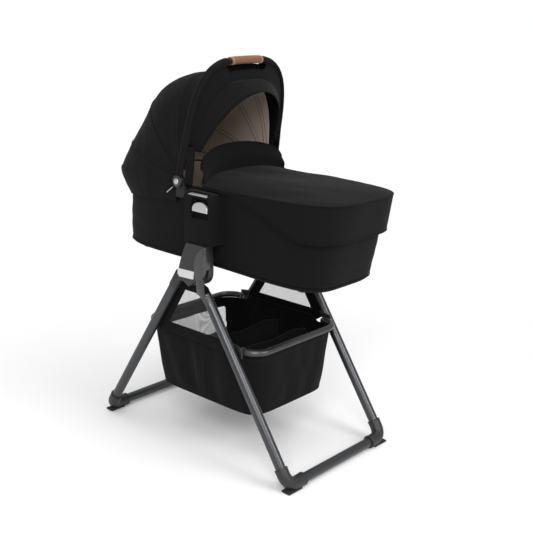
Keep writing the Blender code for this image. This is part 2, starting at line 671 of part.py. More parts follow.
SKID_HALF = 0.118
for name, x in (("head", HUB_X - 0.310), ("foot", HUB_X + 0.335)):
    z0, z1 = TUB_BASE_Z - 0.0105, TUB_BASE_Z - GAP
    outline = [(-SKID_HALF, z1), (-SKID_HALF + 0.006, z0 + 0.003), (-SKID_HALF + 0.020, z0),
               (SKID_HALF - 0.020, z0), (SKID_HALF - 0.006, z0 + 0.003), (SKID_HALF, z1)]
    skid = add("skid_" + name, section_mesh("skid", outline, x - 0.011, x + 0.011), PLASTIC, COT)
    bevel(skid, 0.002, 2)


# Side adapters with their release buttons and canopy hinges

BUTTON_X = HUB_X + 0.041
BUTTON_Z = 0.744         # flat lower edge
BUTTON_HALF = 0.0205
BUTTON_WALL = 0.014
SLOT_CLEAR = 0.0015      # round a tongue in its slot


def dome(cx, base, half, straight, steps=10):
    """A flat-bottomed D on its back: straight sides closed by a half round."""
    top = arc(cx, base + straight, half, 0, 180, steps)
    return [(cx - half, base), (cx + half, base)] + top


for side_name, side in SIDES:
    z0, z1 = ADAPTER_Z
    outline = [(side * (tub_y(z0) + TUB_BULGE + GAP), z0), (side * ADAPTER_OUT_Y, z0),
               (side * (ADAPTER_OUT_Y + 0.001), z0 + 0.06), (side * (ADAPTER_OUT_Y - 0.002), z1 - 0.012),
               (side * (ADAPTER_OUT_Y - 0.008), z1), (side * (tub_y(z1) + TUB_BULGE + GAP), z1)]
    adapter = add("adapter_" + side_name, section_mesh("adapter", outline, *ADAPTER), CLOTH, COT)
    bevel(adapter, 0.004, 2)
    slot_x = (TONGUE_X[0] - 0.002, TONGUE_X[1] + 0.002)
    slot_y = across(side, TONGUE_Y[0] - SLOT_CLEAR, TONGUE_Y[1] + SLOT_CLEAR)
    slot = cutter("slot_" + side_name, box_mesh("slot", slot_x, slot_y, (z0 - 0.02, TONGUE_TOP_Z + 0.002)))
    boolean(adapter, slot)
    recess = cutter("recess_" + side_name,
                    plate_mesh("recess", dome(BUTTON_X, BUTTON_Z - 0.006, BUTTON_HALF + 0.005, 0.024),
                               *across(side, ADAPTER_OUT_Y - 0.008, ADAPTER_OUT_Y + 0.02)))
    boolean(adapter, recess)
    shaft = cutter("shaft_" + side_name,
                   plate_mesh("shaft", dome(BUTTON_X, BUTTON_Z - 0.0006, BUTTON_HALF + 0.0006, 0.0151),
                              *across(side, ADAPTER_OUT_Y - 0.020, ADAPTER_OUT_Y)))
    boolean(adapter, shaft)

    button_axis = axis_empty("release_axis_" + side_name, BUTTON_X, side * ADAPTER_OUT_Y, BUTTON_Z + 0.017)
    button = add("release_button_" + side_name,
                 plate_mesh("release_button", dome(BUTTON_X, BUTTON_Z, BUTTON_HALF, 0.0145),
                            *across(side, ADAPTER_OUT_Y - BUTTON_WALL, ADAPTER_OUT_Y - 0.002)),
                 SILVER, button_axis)
    bevel(button, 0.0015, 2)

    # Trim bar over the recess
    bar = add("trim_bar_" + side_name,
              box_mesh("trim_bar", (BUTTON_X - 0.030, BUTTON_X + 0.030), across(side, ADAPTER_OUT_Y - 0.024,
                                                                         ADAPTER_OUT_Y - 0.011),
                       (z1 + GAP, z1 + 0.0065)), SILVER, COT)
    bevel(bar, 0.0018, 2)

    # Canopy hinge plate on the tub's wall, its pin, and the push button in the arch's boss
    foot = [(PIVOT_X - 0.019, 0.768), (PIVOT_X + 0.019, 0.768)]
    outline = foot + arc(PIVOT_X, PIVOT_Z, 0.0165, 0, 180, 10)
    base = add("canopy_hinge_" + side_name, plate_mesh("canopy_hinge", outline, *across(side, *HINGE_Y)),
               PLASTIC, COT)
    spacer_z = (0.770, 0.798)
    overlap = HINGE_Y[0] + 0.003
    section = [(side * (tub_y(z) + TUB_BULGE), z) for z in spacer_z]
    section += [(side * overlap, z) for z in reversed(spacer_z)]
    spacer = cutter("spacer_" + side_name, section_mesh("spacer", section, PIVOT_X - 0.017, PIVOT_X + 0.017))
    boolean(base, spacer, "UNION")
    bevel(base, 0.0012, 1)
    pin_in, pin_out = (side * y for y in CANOPY_PIN_Y)
    pin_hole = cutter("pin_hole_" + side_name, rod_mesh("pin_hole", (PIVOT_X, pin_in, PIVOT_Z),
                                                        (PIVOT_X, pin_out, PIVOT_Z), CANOPY_PIN_R + GAP, 16))
    boolean(base, pin_hole)
    add("canopy_pin_" + side_name, rod_mesh("canopy_pin", (PIVOT_X, pin_in, PIVOT_Z),
                                            (PIVOT_X, pin_out, PIVOT_Z), CANOPY_PIN_R, 16), STEEL, COT)


# Canopy

def rib_values(tilt):
    """Reach and squareness of the canopy's outline at a tilt, smoothly between the ribs."""
    table = RIBS
    if tilt >= table[0][0]:
        return table[0][1:]
    for before, after in zip(table, table[1:]):
        if after[0] <= tilt:
            share = (before[0] - tilt) / (before[0] - after[0])
            return tuple(a + (b - a) * share for a, b in zip(before[1:], after[1:]))
    return table[-1][1:]


def rib_point(tilt, angle, inset, half_width=CANOPY_W):
    """A point on a canopy rib: angle runs 0 to 180 degrees from the near pivot to the far one."""
    reach, power = rib_values(tilt)
    c, s = math.cos(angle), math.sin(angle)
    y = -(half_width - inset) * math.copysign(abs(c) ** (2 / power), c)
    rise = (reach - inset) * abs(s) ** (2 / power)
    t = math.radians(tilt)
    return PIVOT_X + rise * math.sin(t), y, PIVOT_Z + rise * math.cos(t)


def rib_angle(step, steps, tilt, hole):
    """Even steps along a rib that leave a round opening at each pivot."""
    reach, power = rib_values(tilt)
    start = math.asin((hole / reach) ** (power / 2))
    return start + (math.pi - 2 * start) * step / steps


def rib_row(tilt, steps, hole, inset):
    return [rib_point(tilt, rib_angle(i, steps, tilt, hole), inset) for i in range(steps + 1)]


SEAM_Z = 0.740
SKIRT_OUT = 0.0045       # the fabric's lower edge stands outside the tub by this much


def skirt_row(share, steps, hole):
    """A row of the fabric below the pivots, easing from the last rib to the seam on the tub."""
    last = rib_row(-90, steps, hole, 0.0)
    row = []
    for x, y, z in last:
        seam = SEAM_Z + 0.024 * max(0.0, 1 - (PIVOT_X - x) / 0.25)
        height = z + (seam - z) * share
        plan = tub_plan(height)
        centre, length, width, power = plan
        reach_x = max(0.0, min(1.0, (PIVOT_X - x) / HEAD_REACH))
        across = abs(y) / CANOPY_W
        angle = math.atan2(abs(across) ** (power / 2), reach_x ** (power / 2))
        px, py = squircle(math.pi - angle, length + SKIRT_OUT, width + SKIRT_OUT, power)
        px = min(centre + px, PIVOT_X - hole)
        py = math.copysign(py, y)
        row.append((x + (px - x) * share, y + (py - y) * share, height))
    return row


STEPS = 24
FABRIC_TILT = 11.5       # the fabric ends, and the visor starts, under the arch
HOLE = 0.031
tilts = (FABRIC_TILT, -4, -15, -26, -36, -43, -50, -57, -64, -71, -77, -84, -90)
rows = [rib_row(t, STEPS, HOLE, 0.0) for t in tilts]
rows += [skirt_row(share, STEPS, HOLE) for share in (0.35, 0.7, 1.0)]
add("canopy_fabric", sheet_mesh("canopy_fabric", rows, 0.0026), CLOTH, CANOPY_AXIS)

tilts = (6, -10, -26, -36, -50, -64, -77, -88)
rows = [rib_row(t, 20, 0.034, 0.0108) for t in tilts]
add("canopy_lining", sheet_mesh("canopy_lining", rows, 0.0015), LINING, CANOPY_AXIS)

for number, (tilt, inset) in enumerate(((-36, 0.0053), (-64, 0.0085)), start=1):
    # Flat bow in the fabric's pocket, with an eye round the pin at each end
    rings = []
    for i in range(27):
        angle = rib_angle(i, 26, tilt, 0.0085)
        out = Vector(rib_point(tilt, angle, inset - 0.0011))
        into = Vector(rib_point(tilt, angle, inset + 0.0011))
        square = Vector((math.cos(math.radians(tilt)), 0, -math.sin(math.radians(tilt)))) * 0.0035
        rings.append([out + square, out - square, into - square, into + square])
    bow = add("canopy_bow_%d" % number, loft_mesh("canopy_bow", rings), PLASTIC, CANOPY_AXIS)
    for side_name, side in SIDES:
        y = CANOPY_W - inset
        eye = cutter("bow_eye_%d_%s" % (number, side_name),
                     rod_mesh("bow_eye", (PIVOT_X, side * (y - 0.0012), PIVOT_Z),
                              (PIVOT_X, side * (y + 0.0012), PIVOT_Z), 0.0098, 16))
        boolean(bow, eye, "UNION")
        hole = cutter("bow_hole_%d_%s" % (number, side_name),
                      rod_mesh("bow_hole", (PIVOT_X, side * (y - 0.01), PIVOT_Z),
                               (PIVOT_X, side * (y + 0.01), PIVOT_Z), CANOPY_PIN_R + GAP, 16))
        boolean(bow, hole)


# Carrying arch, its leather grip and the visor

ARCH_POWER = 3.0


def arch_point(angle, half_width=ARCH_W, height=ARCH_H):
    c, s = math.cos(angle), math.sin(angle)
    y = -half_width * math.copysign(abs(c) ** (2 / ARCH_POWER), c)
    rise = height * abs(s) ** (2 / ARCH_POWER)
    t = math.radians(ARCH_TILT)
    return Vector((PIVOT_X + rise * math.sin(t), y, PIVOT_Z + rise * math.cos(t)))


ARCH_SQUARE = Vector((math.cos(math.radians(ARCH_TILT)), 0, -math.sin(math.radians(ARCH_TILT))))


def arch_ring(angle, wide, thick, count=12):
    """An oval section of the arch: wide along the canopy, thick across the arch's plane."""
    step = 0.004
    ahead = arch_point(min(math.pi - 1e-6, angle + step)) - arch_point(max(1e-6, angle - step))
    out = ahead.normalized().cross(ARCH_SQUARE).normalized()
    centre = arch_point(angle)
    ring = []
    for i in range(count):
        a = 2 * math.pi * i / count
        ring.append(centre + ARCH_SQUARE * wide * math.cos(a) + out * thick * math.sin(a))
    return ring


def even_angles(count, rise):
    """Angles along the arch from one pivot boss to the other, spaced evenly by length."""
    start = math.asin((rise / ARCH_H) ** (ARCH_POWER / 2))
    fine = [start + (math.pi - 2 * start) * i / 400 for i in range(401)]
    points = [arch_point(a) for a in fine]
    lengths = [0.0]
    for a, b in zip(points, points[1:]):
        lengths.append(lengths[-1] + (b - a).length)
    angles = []
    for i in range(count):
        wanted = lengths[-1] * i / (count - 1)
        nearest = min(range(len(lengths)), key=lambda k: abs(lengths[k] - wanted))
        angles.append(fine[nearest])
    return angles


GRIP_HALF = 0.066        # half length of the leather grip
GRIP_SIDES = 16
rings = []
for angle in even_angles(31, 0.010):
    on_grip = abs(arch_point(angle).y) < GRIP_HALF + 0.004
    rings.append(arch_ring(angle, 0.0095 if on_grip else 0.0130, 0.0052 if on_grip else 0.0058))
arch = add("carry_arch", loft_mesh("carry_arch", rings), CLOTH, CANOPY_AXIS)
for side_name, side in SIDES:
    boss_in, boss_out = (side * y for y in BOSS_Y)
    knob_in, knob_out = (side * y for y in KNOB_Y)
    boss = cutter("arch_boss_" + side_name, rod_mesh("arch_boss", (PIVOT_X, boss_in, PIVOT_Z),
                                                     (PIVOT_X, boss_out, PIVOT_Z), 0.0175, 24))
    boolean(arch, boss, "UNION")
    pin_end = side * (CANOPY_PIN_Y[1] + 0.0035)
    pin_hole = cutter("arch_hole_" + side_name,
                      rod_mesh("arch_hole", (PIVOT_X, side * (BOSS_Y[0] - 0.03), PIVOT_Z),
                               (PIVOT_X, pin_end, PIVOT_Z), CANOPY_PIN_R + GAP, 16))
    boolean(arch, pin_hole)
    pocket = cutter("knob_pocket_" + side_name,
                    rod_mesh("knob_pocket", (PIVOT_X, knob_in - side * 0.003, PIVOT_Z),
                             (PIVOT_X, boss_out + side * 0.01, PIVOT_Z), KNOB_R + GAP, 24))
    boolean(arch, pocket)
    knob_axis = axis_empty("canopy_button_axis_" + side_name, PIVOT_X, knob_out, PIVOT_Z)
    knob = add("canopy_button_" + side_name,
               rod_mesh("canopy_button", (PIVOT_X, knob_in, PIVOT_Z), (PIVOT_X, knob_out, PIVOT_Z),
                        KNOB_R, 24), SILVER, knob_axis)
    bevel(knob, 0.0012, 2)

grip_angles = [a for a in even_angles(69, 0.010) if abs(arch_point(a).y) < GRIP_HALF]
outer = [arch_ring(a, 0.0150, 0.0125, GRIP_SIDES) for a in grip_angles]
inner = [arch_ring(a, 0.0103, 0.0062, GRIP_SIDES) for a in grip_angles]
bm = bmesh.new()
rows = [[bm.verts.new(p) for p in ring] for ring in outer + inner[::-1]]
for row, following in zip(rows, rows[1:] + rows[:1]):
    for i in range(GRIP_SIDES):
        j = (i + 1) % GRIP_SIDES
        bm.faces.new((row[i], row[j], following[j], following[i]))
add("grip", as_mesh(bm, "grip"), LEATHER, CANOPY_AXIS)

VISOR_TILT = FABRIC_TILT + 0.15
VISOR = ((VISOR_TILT, *rib_values(FABRIC_TILT), CANOPY_W),
         (VISOR_TILT + 2.5, *rib_values(FABRIC_TILT), CANOPY_W),
         (19.0, 0.299, 2.7, 0.1805), (24.0, 0.294, 2.3, 0.1750),
         (28.5, 0.287, 2.05, 0.1700))   # tilt, reach, squareness, half width


def visor_row(tilt, reach, power, half_width, steps=26):
    """A row of the visor, from one corner over the top to the other."""
    row = []
    start = math.asin((0.060 / reach) ** (power / 2))
    for i in range(steps + 1):
        angle = start + (math.pi - 2 * start) * i / steps
        c, s = math.cos(angle), math.sin(angle)
        y = -half_width * math.copysign(abs(c) ** (2 / power), c)
        rise = reach * abs(s) ** (2 / power)
        t = math.radians(tilt)
        row.append((PIVOT_X + rise * math.sin(t), y, PIVOT_Z + rise * math.cos(t)))
    return row


rows = [visor_row(*values) for values in VISOR]
add("visor", sheet_mesh("visor", rows[::-1], 0.0026), CLOTH, CANOPY_AXIS)


# Top cover with its wind flap

COVER_IN = 0.0012        # clear space between the cover and the rim
CROWN = 0.024


COVER_SIDE_OUT = 0.0055  # how far its skirt stands outside the rim along the sides
COVER_THICK = 0.0045


def seam_x(y):
    """Head edge of the cover: drawn back in the middle, forward at the sides."""
    return HUB_X + 0.026 - 0.048 * (1 - (y / 0.19) ** 2)


def crown_z(share):
    return RIM_Z + COVER_SIDE_OUT + CROWN * (1 - share ** 2.4)


def cover_ring(share, into=0.0, under=0.0):
    """A ring of the crowned top: share runs from 0 in the middle to 1 at the edge."""
    centre, length, width, power = RIM_PLAN
    ring = []
    for turn in TUB_TURNS:
        x, y = squircle(turn, (length + COVER_OUT * share) * share - into,
                        (width + COVER_SIDE_OUT * share) * share - into, 2 + (power - 2) * share)
        ring.append((centre + x, y, crown_z(share) - under))
    return ring


def skirt_ring(share, into=0.0):
    """A ring of the skirt: it follows the wall in at the foot and hangs straight at the sides."""
    ring = []
    for turn, (x, y, z) in zip(TUB_TURNS, cover_ring(1.0, into, EDGE_ROLL)):
        z -= skirt_drop(x) * share
        centre, length, _, power = tub_plan(z)
        x, y = squircle(turn, length + COVER_OUT - into, RIM_PLAN[2] + COVER_SIDE_OUT - into, power)
        ring.append((centre + x, y, z))
    return ring


def ease(share):
    share = min(1.0, max(0.0, share))
    return share * share * (3 - 2 * share)


def skirt_drop(x):
    """How far the skirt hangs: deep round the foot end, shallow along the sides, clear of the adapters."""
    return 0.004 + 0.016 * ease((x - ADAPTER[1] - 0.034) / 0.040) + 0.082 * ease((x - HUB_X - 0.16) / 0.26)


EDGE_ROLL = 0.0048        # the top turns down over its piped edge by this much
SKIRT_THICK = 0.0030
SEAT_SHARE = 0.957       # ring of the cover that lies on the rim
SEAT_GAP = 0.0005
shares = (0.25, 0.55, 0.8, 0.93)
outer = [cover_ring(share) for share in shares] + [skirt_ring(share) for share in (0.0, 0.5, 1.0)]
inner = [skirt_ring(share, SKIRT_THICK) for share in (1.0, 0.5, 0.0)]
inner.append([(x, y, RIM_Z + SEAT_GAP) for x, y, z in cover_ring(SEAT_SHARE)])
inner += [cover_ring(share, 0.0, COVER_THICK) for share in reversed(shares)]
cover = add("top_cover", loft_mesh("top_cover", outer + inner), CLOTH, COVER_SEAT)
edge_points = [(seam_x(y), y) for y in [(-0.22 + 0.44 * i / 24) for i in range(25)]]
back = [(HUB_X - 0.55, 0.22), (HUB_X - 0.55, -0.22)]
bm = bmesh.new()
face = bm.faces.new([bm.verts.new((x, y, 0.6)) for x, y in edge_points + back])
grown = bmesh.ops.extrude_face_region(bm, geom=[face])
moved = [v for v in grown["geom"] if isinstance(v, bmesh.types.BMVert)]
bmesh.ops.translate(bm, vec=(0, 0, 0.4), verts=moved)
boolean(cover, cutter("cover_edge", as_mesh(bm, "cover_edge")))

flap_rows = []
for k in range(5):
    share = k / 4
    row = []
    for i in range(21):
        y = -0.170 + 0.340 * i / 20
        height = 0.078 * (1 - abs(y / 0.176) ** 3) ** 0.6
        foot_z = crown_z(abs(y) / 0.19) - 0.004
        bulge = 0.0035 * (1 - math.cos(2 * math.pi * share))
        x = seam_x(y) - 0.0012 + bulge - 0.010 * share
        row.append((x, y, foot_z + (height + 0.004) * share))
    flap_rows.append(row)
add("wind_flap", sheet_mesh("wind_flap", flap_rows, 0.008), CLOTH, COVER_SEAT)
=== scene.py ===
"""Dressing of the bassinet on its folding stand: smooth tubes and mouldings, padded and sewn cloth."""
import bmesh
import bpy
import math
import numpy as np
from mathutils import Matrix, Vector, noise


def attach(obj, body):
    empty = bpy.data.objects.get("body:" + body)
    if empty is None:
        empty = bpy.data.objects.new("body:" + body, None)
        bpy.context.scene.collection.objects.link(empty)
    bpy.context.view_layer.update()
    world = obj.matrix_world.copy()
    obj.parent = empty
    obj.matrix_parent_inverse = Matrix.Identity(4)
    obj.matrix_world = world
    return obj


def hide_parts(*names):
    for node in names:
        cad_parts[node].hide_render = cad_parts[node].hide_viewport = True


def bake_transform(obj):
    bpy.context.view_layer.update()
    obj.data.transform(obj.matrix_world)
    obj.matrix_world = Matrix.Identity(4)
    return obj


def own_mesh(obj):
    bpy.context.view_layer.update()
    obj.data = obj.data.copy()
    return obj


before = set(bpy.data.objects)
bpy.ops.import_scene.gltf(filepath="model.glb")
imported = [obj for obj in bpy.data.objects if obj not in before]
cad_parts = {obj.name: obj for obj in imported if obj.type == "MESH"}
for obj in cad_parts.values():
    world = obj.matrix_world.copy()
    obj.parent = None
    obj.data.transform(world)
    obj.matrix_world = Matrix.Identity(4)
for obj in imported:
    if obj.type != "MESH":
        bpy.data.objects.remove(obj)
bpy.ops.object.select_all(action="DESELECT")
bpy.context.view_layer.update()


# Legs and floor bars: steel tubes with a satin gunmetal coat. The four legs run from the corner
# fittings up into the hubs and leg tops; a floor bar joins each pair at the floor.
HUB_X = -0.030           # the stand's middle; sizes are in metres
LEG_Y = 0.216
LEG_REACH = 0.4050       # from the middle to where a leg's line would meet the floor
APEX_Z = 0.607           # height at which the legs' lines would cross
LEG_R = 0.015
LEG_TOP = {-1: 0.532, 1: 0.505}
CORNER_Z = 0.020         # centre line of the floor bars
COLLAR_Z = 0.064         # top of the corner fittings
LEG_SUNK = 0.020         # tube hidden in a corner fitting
BAR_SHORT = 0.045        # the bar's tube ends this far inside the leg's line
BAR_R = 0.0143
ENDS = (("head", -1), ("foot", 1))
SIDES = (("near", -1), ("far", 1))


def linear(hex_colour):
    """An sRGB hex colour as linear values."""
    parts = [int(hex_colour[i:i + 2], 16) / 255 for i in (0, 2, 4)]
    return tuple(v / 12.92 if v <= 0.04045 else ((v + 0.055) / 1.055) ** 2.4 for v in parts) + (1.0,)


def add_node(tree, kind, values=None, links=None, **settings):
    """One shader node, with its settings, its constant inputs and its links."""
    made = tree.nodes.new(kind)
    for key, value in settings.items():
        setattr(made, key, value)
    for key, value in (values or {}).items():
        made.inputs[key].default_value = value
    for key, source in (links or {}).items():
        tree.links.new(source, made.inputs[key])
    return made


def finish(name, colour, roughness, **constants):
    """A new Principled material; constants are other sockets by name, with _ for a space."""
    made = bpy.data.materials.new(name)
    made.use_nodes = True
    shader = made.node_tree.nodes["Principled BSDF"]
    shader.inputs["Base Color"].default_value = linear(colour)
    shader.inputs["Roughness"].default_value = roughness
    for key, value in constants.items():
        shader.inputs[key.replace("_", " ")].default_value = value
    return made


def grain(made, size, depth, fade=0.0, coordinates="Object"):
    """Fine grain of a real size in metres: bumps of a depth, and roughness that varies by fade."""
    tree = made.node_tree
    shader = tree.nodes["Principled BSDF"]
    place = add_node(tree, "ShaderNodeTexCoord").outputs[coordinates]
    fine = add_node(tree, "ShaderNodeTexNoise", {"Scale": 1 / size, "Detail": 2.0}, {"Vector": place})
    bump = add_node(tree, "ShaderNodeBump", {"Distance": depth, "Strength": 1.0},
                    {"Height": fine.outputs["Fac"]})
    tree.links.new(bump.outputs["Normal"], shader.inputs["Normal"])
    if fade:
        base = shader.inputs["Roughness"].default_value
        spread = add_node(tree, "ShaderNodeMapRange", {"To Min": base - fade, "To Max": base + fade},
                          {"Value": fine.outputs["Fac"]})
        tree.links.new(spread.outputs["Result"], shader.inputs["Roughness"])
    return made


# The comment over each material says what the real one is taken for: that is judged from the
# photograph, which cannot prove it.
# Steel tube with a satin metallic powder coat: soft long highlights. The coat's specks are drawn at
# 1.1 mm, coarser than real, so that they show at all.
GUNMETAL = grain(finish("gunmetal_tube", "4A4B4D", 0.33, Metallic=0.85), 0.0011, 0.00002, 0.05)


def link_new(name, data):
    """A new object in the scene, with its mesh, lamp or camera."""
    made = bpy.data.objects.new(name, data)
    bpy.context.scene.collection.objects.link(made)
    return made


def travelled(line):
    """The way along a line of points at each of them."""
    return np.concatenate([[0], np.cumsum(np.linalg.norm(np.diff(line, axis=0), axis=1))])


def skin(name, rows, finish_used, round_rows=True, cyclic=False, caps=False, smooth=40.0):
    """A mesh over a grid of points, with UVs in metres; round_rows joins each row's ends."""
    rows = np.asarray(rows, float)
    count, width = rows.shape[:2]
    grid = np.arange(count * width).reshape(count, width)
    if cyclic:
        grid = np.vstack([grid, grid[:1]])
    if round_rows:
        grid = np.hstack([grid, grid[:, :1]])
    faces = np.stack([grid[:-1, :-1], grid[:-1, 1:], grid[1:, 1:], grid[1:, :-1]], -1)
    faces = faces.reshape(-1, 4).tolist()
    points = rows.reshape(-1, 3)
    along = travelled(points[grid[grid.shape[0] // 2]])
    if round_rows:
        lengths = travelled(points[grid].mean(1))
    else:
        lengths = np.linalg.norm(np.diff(points[grid], axis=0), axis=2).mean(1)
        lengths = np.concatenate([[0], np.cumsum(lengths)])
    corners = np.stack(np.meshgrid(along, lengths), -1)
    uvs = np.stack([corners[:-1, :-1], corners[:-1, 1:], corners[1:, 1:], corners[1:, :-1]], 2)
    uvs = uvs.reshape(-1, 2)
    if caps:
        faces += [grid[0, :width].tolist()[::-1], grid[-1, :width].tolist()]
        uvs = np.vstack([uvs, np.zeros((2 * width, 2))])
    mesh = bpy.data.meshes.new(name)
    mesh.from_pydata(points.tolist(), [], faces)
    mesh.uv_layers.new(name="metres").data.foreach_set("uv", uvs.ravel())
    mesh.materials.append(finish_used)
    made = link_new(name, mesh)
    if round_rows and (caps or cyclic):
        shape = bmesh.new()
        shape.from_mesh(mesh)
        bmesh.ops.recalc_face_normals(shape, faces=shape.faces)
        shape.to_mesh(mesh)
        shape.free()
    mesh.shade_smooth()
    mesh.set_sharp_from_angle(angle=math.radians(smooth))
    return made


def squircle(turn, length, width, power):
    """Points of the rounded outline |x/a|^n + |y/b|^n = 1."""
    c, s = np.cos(turn), np.sin(turn)
    return length * np.sign(c) * np.abs(c) ** (2 / power), width * np.sign(s) * np.abs(s) ** (2 / power)


def sweep(name, line, wide, finish_used, thick=None, across=None, sides=24, cyclic=False, square=2.0):
    """A bar along a line of points: round, or wide along across and thick square to it."""
    line = np.asarray(line, float)
    thick = wide if thick is None else thick
    ahead = np.roll(line, -1, 0) - np.roll(line, 1, 0) if cyclic else np.gradient(line, axis=0)
    ahead /= np.linalg.norm(ahead, axis=1, keepdims=True)
    if across is None:
        start = np.cross(ahead[0], (0.0, 0.0, 1.0))
        if np.linalg.norm(start) < 0.1:
            start = np.cross(ahead[0], (0.0, 1.0, 0.0))
        turned = [start / np.linalg.norm(start)]
        for direction in ahead[1:]:
            kept = turned[-1] - direction * turned[-1].dot(direction)
            turned.append(kept / np.linalg.norm(kept))
        across = np.array(turned)
    across = np.broadcast_to(np.asarray(across, float), line.shape)
    across = across - ahead * (across * ahead).sum(1, keepdims=True)
    across = across / np.linalg.norm(across, axis=1, keepdims=True)
    out = np.cross(ahead, across)
    c, s = squircle(2 * np.pi * np.arange(sides) / sides, 1.0, 1.0, square)
    wide = np.broadcast_to(np.asarray(wide, float), len(line))[:, None, None]
    thick = np.broadcast_to(np.asarray(thick, float), len(line))[:, None, None]
    rings = (line[:, None] + wide * c[None, :, None] * across[:, None]
             + thick * s[None, :, None] * out[:, None])
    return skin(name, rings, finish_used, cyclic=cyclic, caps=not cyclic)


def place(piece, body, slot, *nodes):
    """Hang a finished piece on its body and let it stand for CAD nodes, which are hidden; slot is not used.
    """
    if nodes:
        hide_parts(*nodes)
    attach(piece, body)
    return piece


def round_bar(name, start, end, radius, finish_used, edge=0.0, sides=48):
    """A cylinder between two points, its end edges rounded by edge."""
    start, end = Vector(start), Vector(end)
    bpy.ops.mesh.primitive_cylinder_add(vertices=sides, radius=radius, depth=(end - start).length)
    made = bpy.context.active_object
    made.name = name
    if edge:
        bpy.ops.object.mode_set(mode="EDIT")
        bpy.ops.mesh.select_all(action="SELECT")
        bpy.ops.mesh.edges_select_sharp(sharpness=math.radians(60))
        bpy.ops.mesh.bevel(offset=edge, segments=3, profile=0.5)
        bpy.ops.object.mode_set(mode="OBJECT")
    turn = (end - start).to_track_quat("Z", "Y").to_matrix().to_4x4()
    made.data.transform(Matrix.Translation((start + end) / 2) @ turn)
    made.data.materials.append(finish_used)
    made.data.shade_smooth()
    made.data.set_sharp_from_angle(angle=math.radians(40))
    made.select_set(False)
    return made


def leg_x(end, z):
    """X of a leg's centre line at a height: end is -1 at the head and 1 at the foot."""
    return HUB_X + end * LEG_REACH * (1 - z / APEX_Z)


def leg_at(end, side, z):
    """A point of a leg's centre line."""
    return leg_x(end, z), side * LEG_Y, z


for end_name, end in ENDS:
    body = "stand_" + end_name
    for side_name, side in SIDES:
        tag = end_name + "_" + side_name
        leg = round_bar("leg_tube_" + tag, leg_at(end, side, COLLAR_Z - LEG_SUNK),
                        leg_at(end, side, LEG_TOP[end]), LEG_R, GUNMETAL)
        place(leg, body, "gunmetal_tube", "leg_" + tag)
    x, reach = leg_x(end, CORNER_Z), LEG_Y - BAR_SHORT
    bar = round_bar("floor_tube_" + end_name, (x, -reach, CORNER_Z), (x, reach, CORNER_Z), BAR_R, GUNMETAL)
    place(bar, body, "gunmetal_tube", "floor_bar_" + end_name)


# Corner fittings: one dark moulded elbow at each foot, flat underneath, with a lip round each tube
# and a ribbed rubber sole let into its underside.
# Glass-filled polyamide, moulded in an eroded tool: matt, with a fine grain that is drawn at 0.6 mm,
# coarser than real, so that it breaks up the highlights.
PLASTIC = grain(finish("dark_plastic", "1D1D1E", 0.46), 0.0006, 0.00003, 0.05)
# Moulded thermoplastic rubber: dull, almost without highlights
RUBBER = grain(finish("sole_rubber", "191919", 0.82), 0.0009, 0.00005)
CORNER_R = 0.0190
CORNER_TURN = 0.036      # the bend starts this far from the corner
BAR_MOUTH = 0.062
UNDERSIDE = 0.0075
SOLE_OUT, SOLE_IN, SOLE_HALF = 0.012, 0.044, 0.0155
RIB_COUNT, RIB_PITCH, RIB_HALF = 7, 0.0080, 0.0022


def fast(piece):
    """Apply a piece's modifiers in turn, so that its mesh is final."""
    bpy.context.view_layer.objects.active = piece
    for change in list(piece.modifiers):
        bpy.ops.object.modifier_apply(modifier=change.name)
    return piece


def soften(piece, width, segments=3, angle=35.0):
    """Round a piece's sharp edges and shade it smooth across them."""
    change = piece.modifiers.new("rounded", "BEVEL")
    change.width = width
    change.segments = segments
    change.limit_method = "ANGLE"
    change.angle_limit = math.radians(angle)
    change.harden_normals = False
    fast(piece)
    piece.data.shade_smooth()
    piece.data.set_sharp_from_angle(angle=math.radians(50))
    return piece


def block(name, x, y, z, finish_used, edge=0.0, segments=3):
    """A box over three (low, high) ranges with rounded edges."""
    bpy.ops.mesh.primitive_cube_add(size=1.0)
    made = bpy.context.active_object
    made.name = name
    size = [high - low for low, high in (x, y, z)]
    middle = [(high + low) / 2 for low, high in (x, y, z)]
    made.data.transform(Matrix.Translation(middle) @ Matrix.Diagonal((*size, 1.0)))
    made.data.materials.append(finish_used)
    if edge:
        soften(made, edge, segments)
    made.select_set(False)
    return made


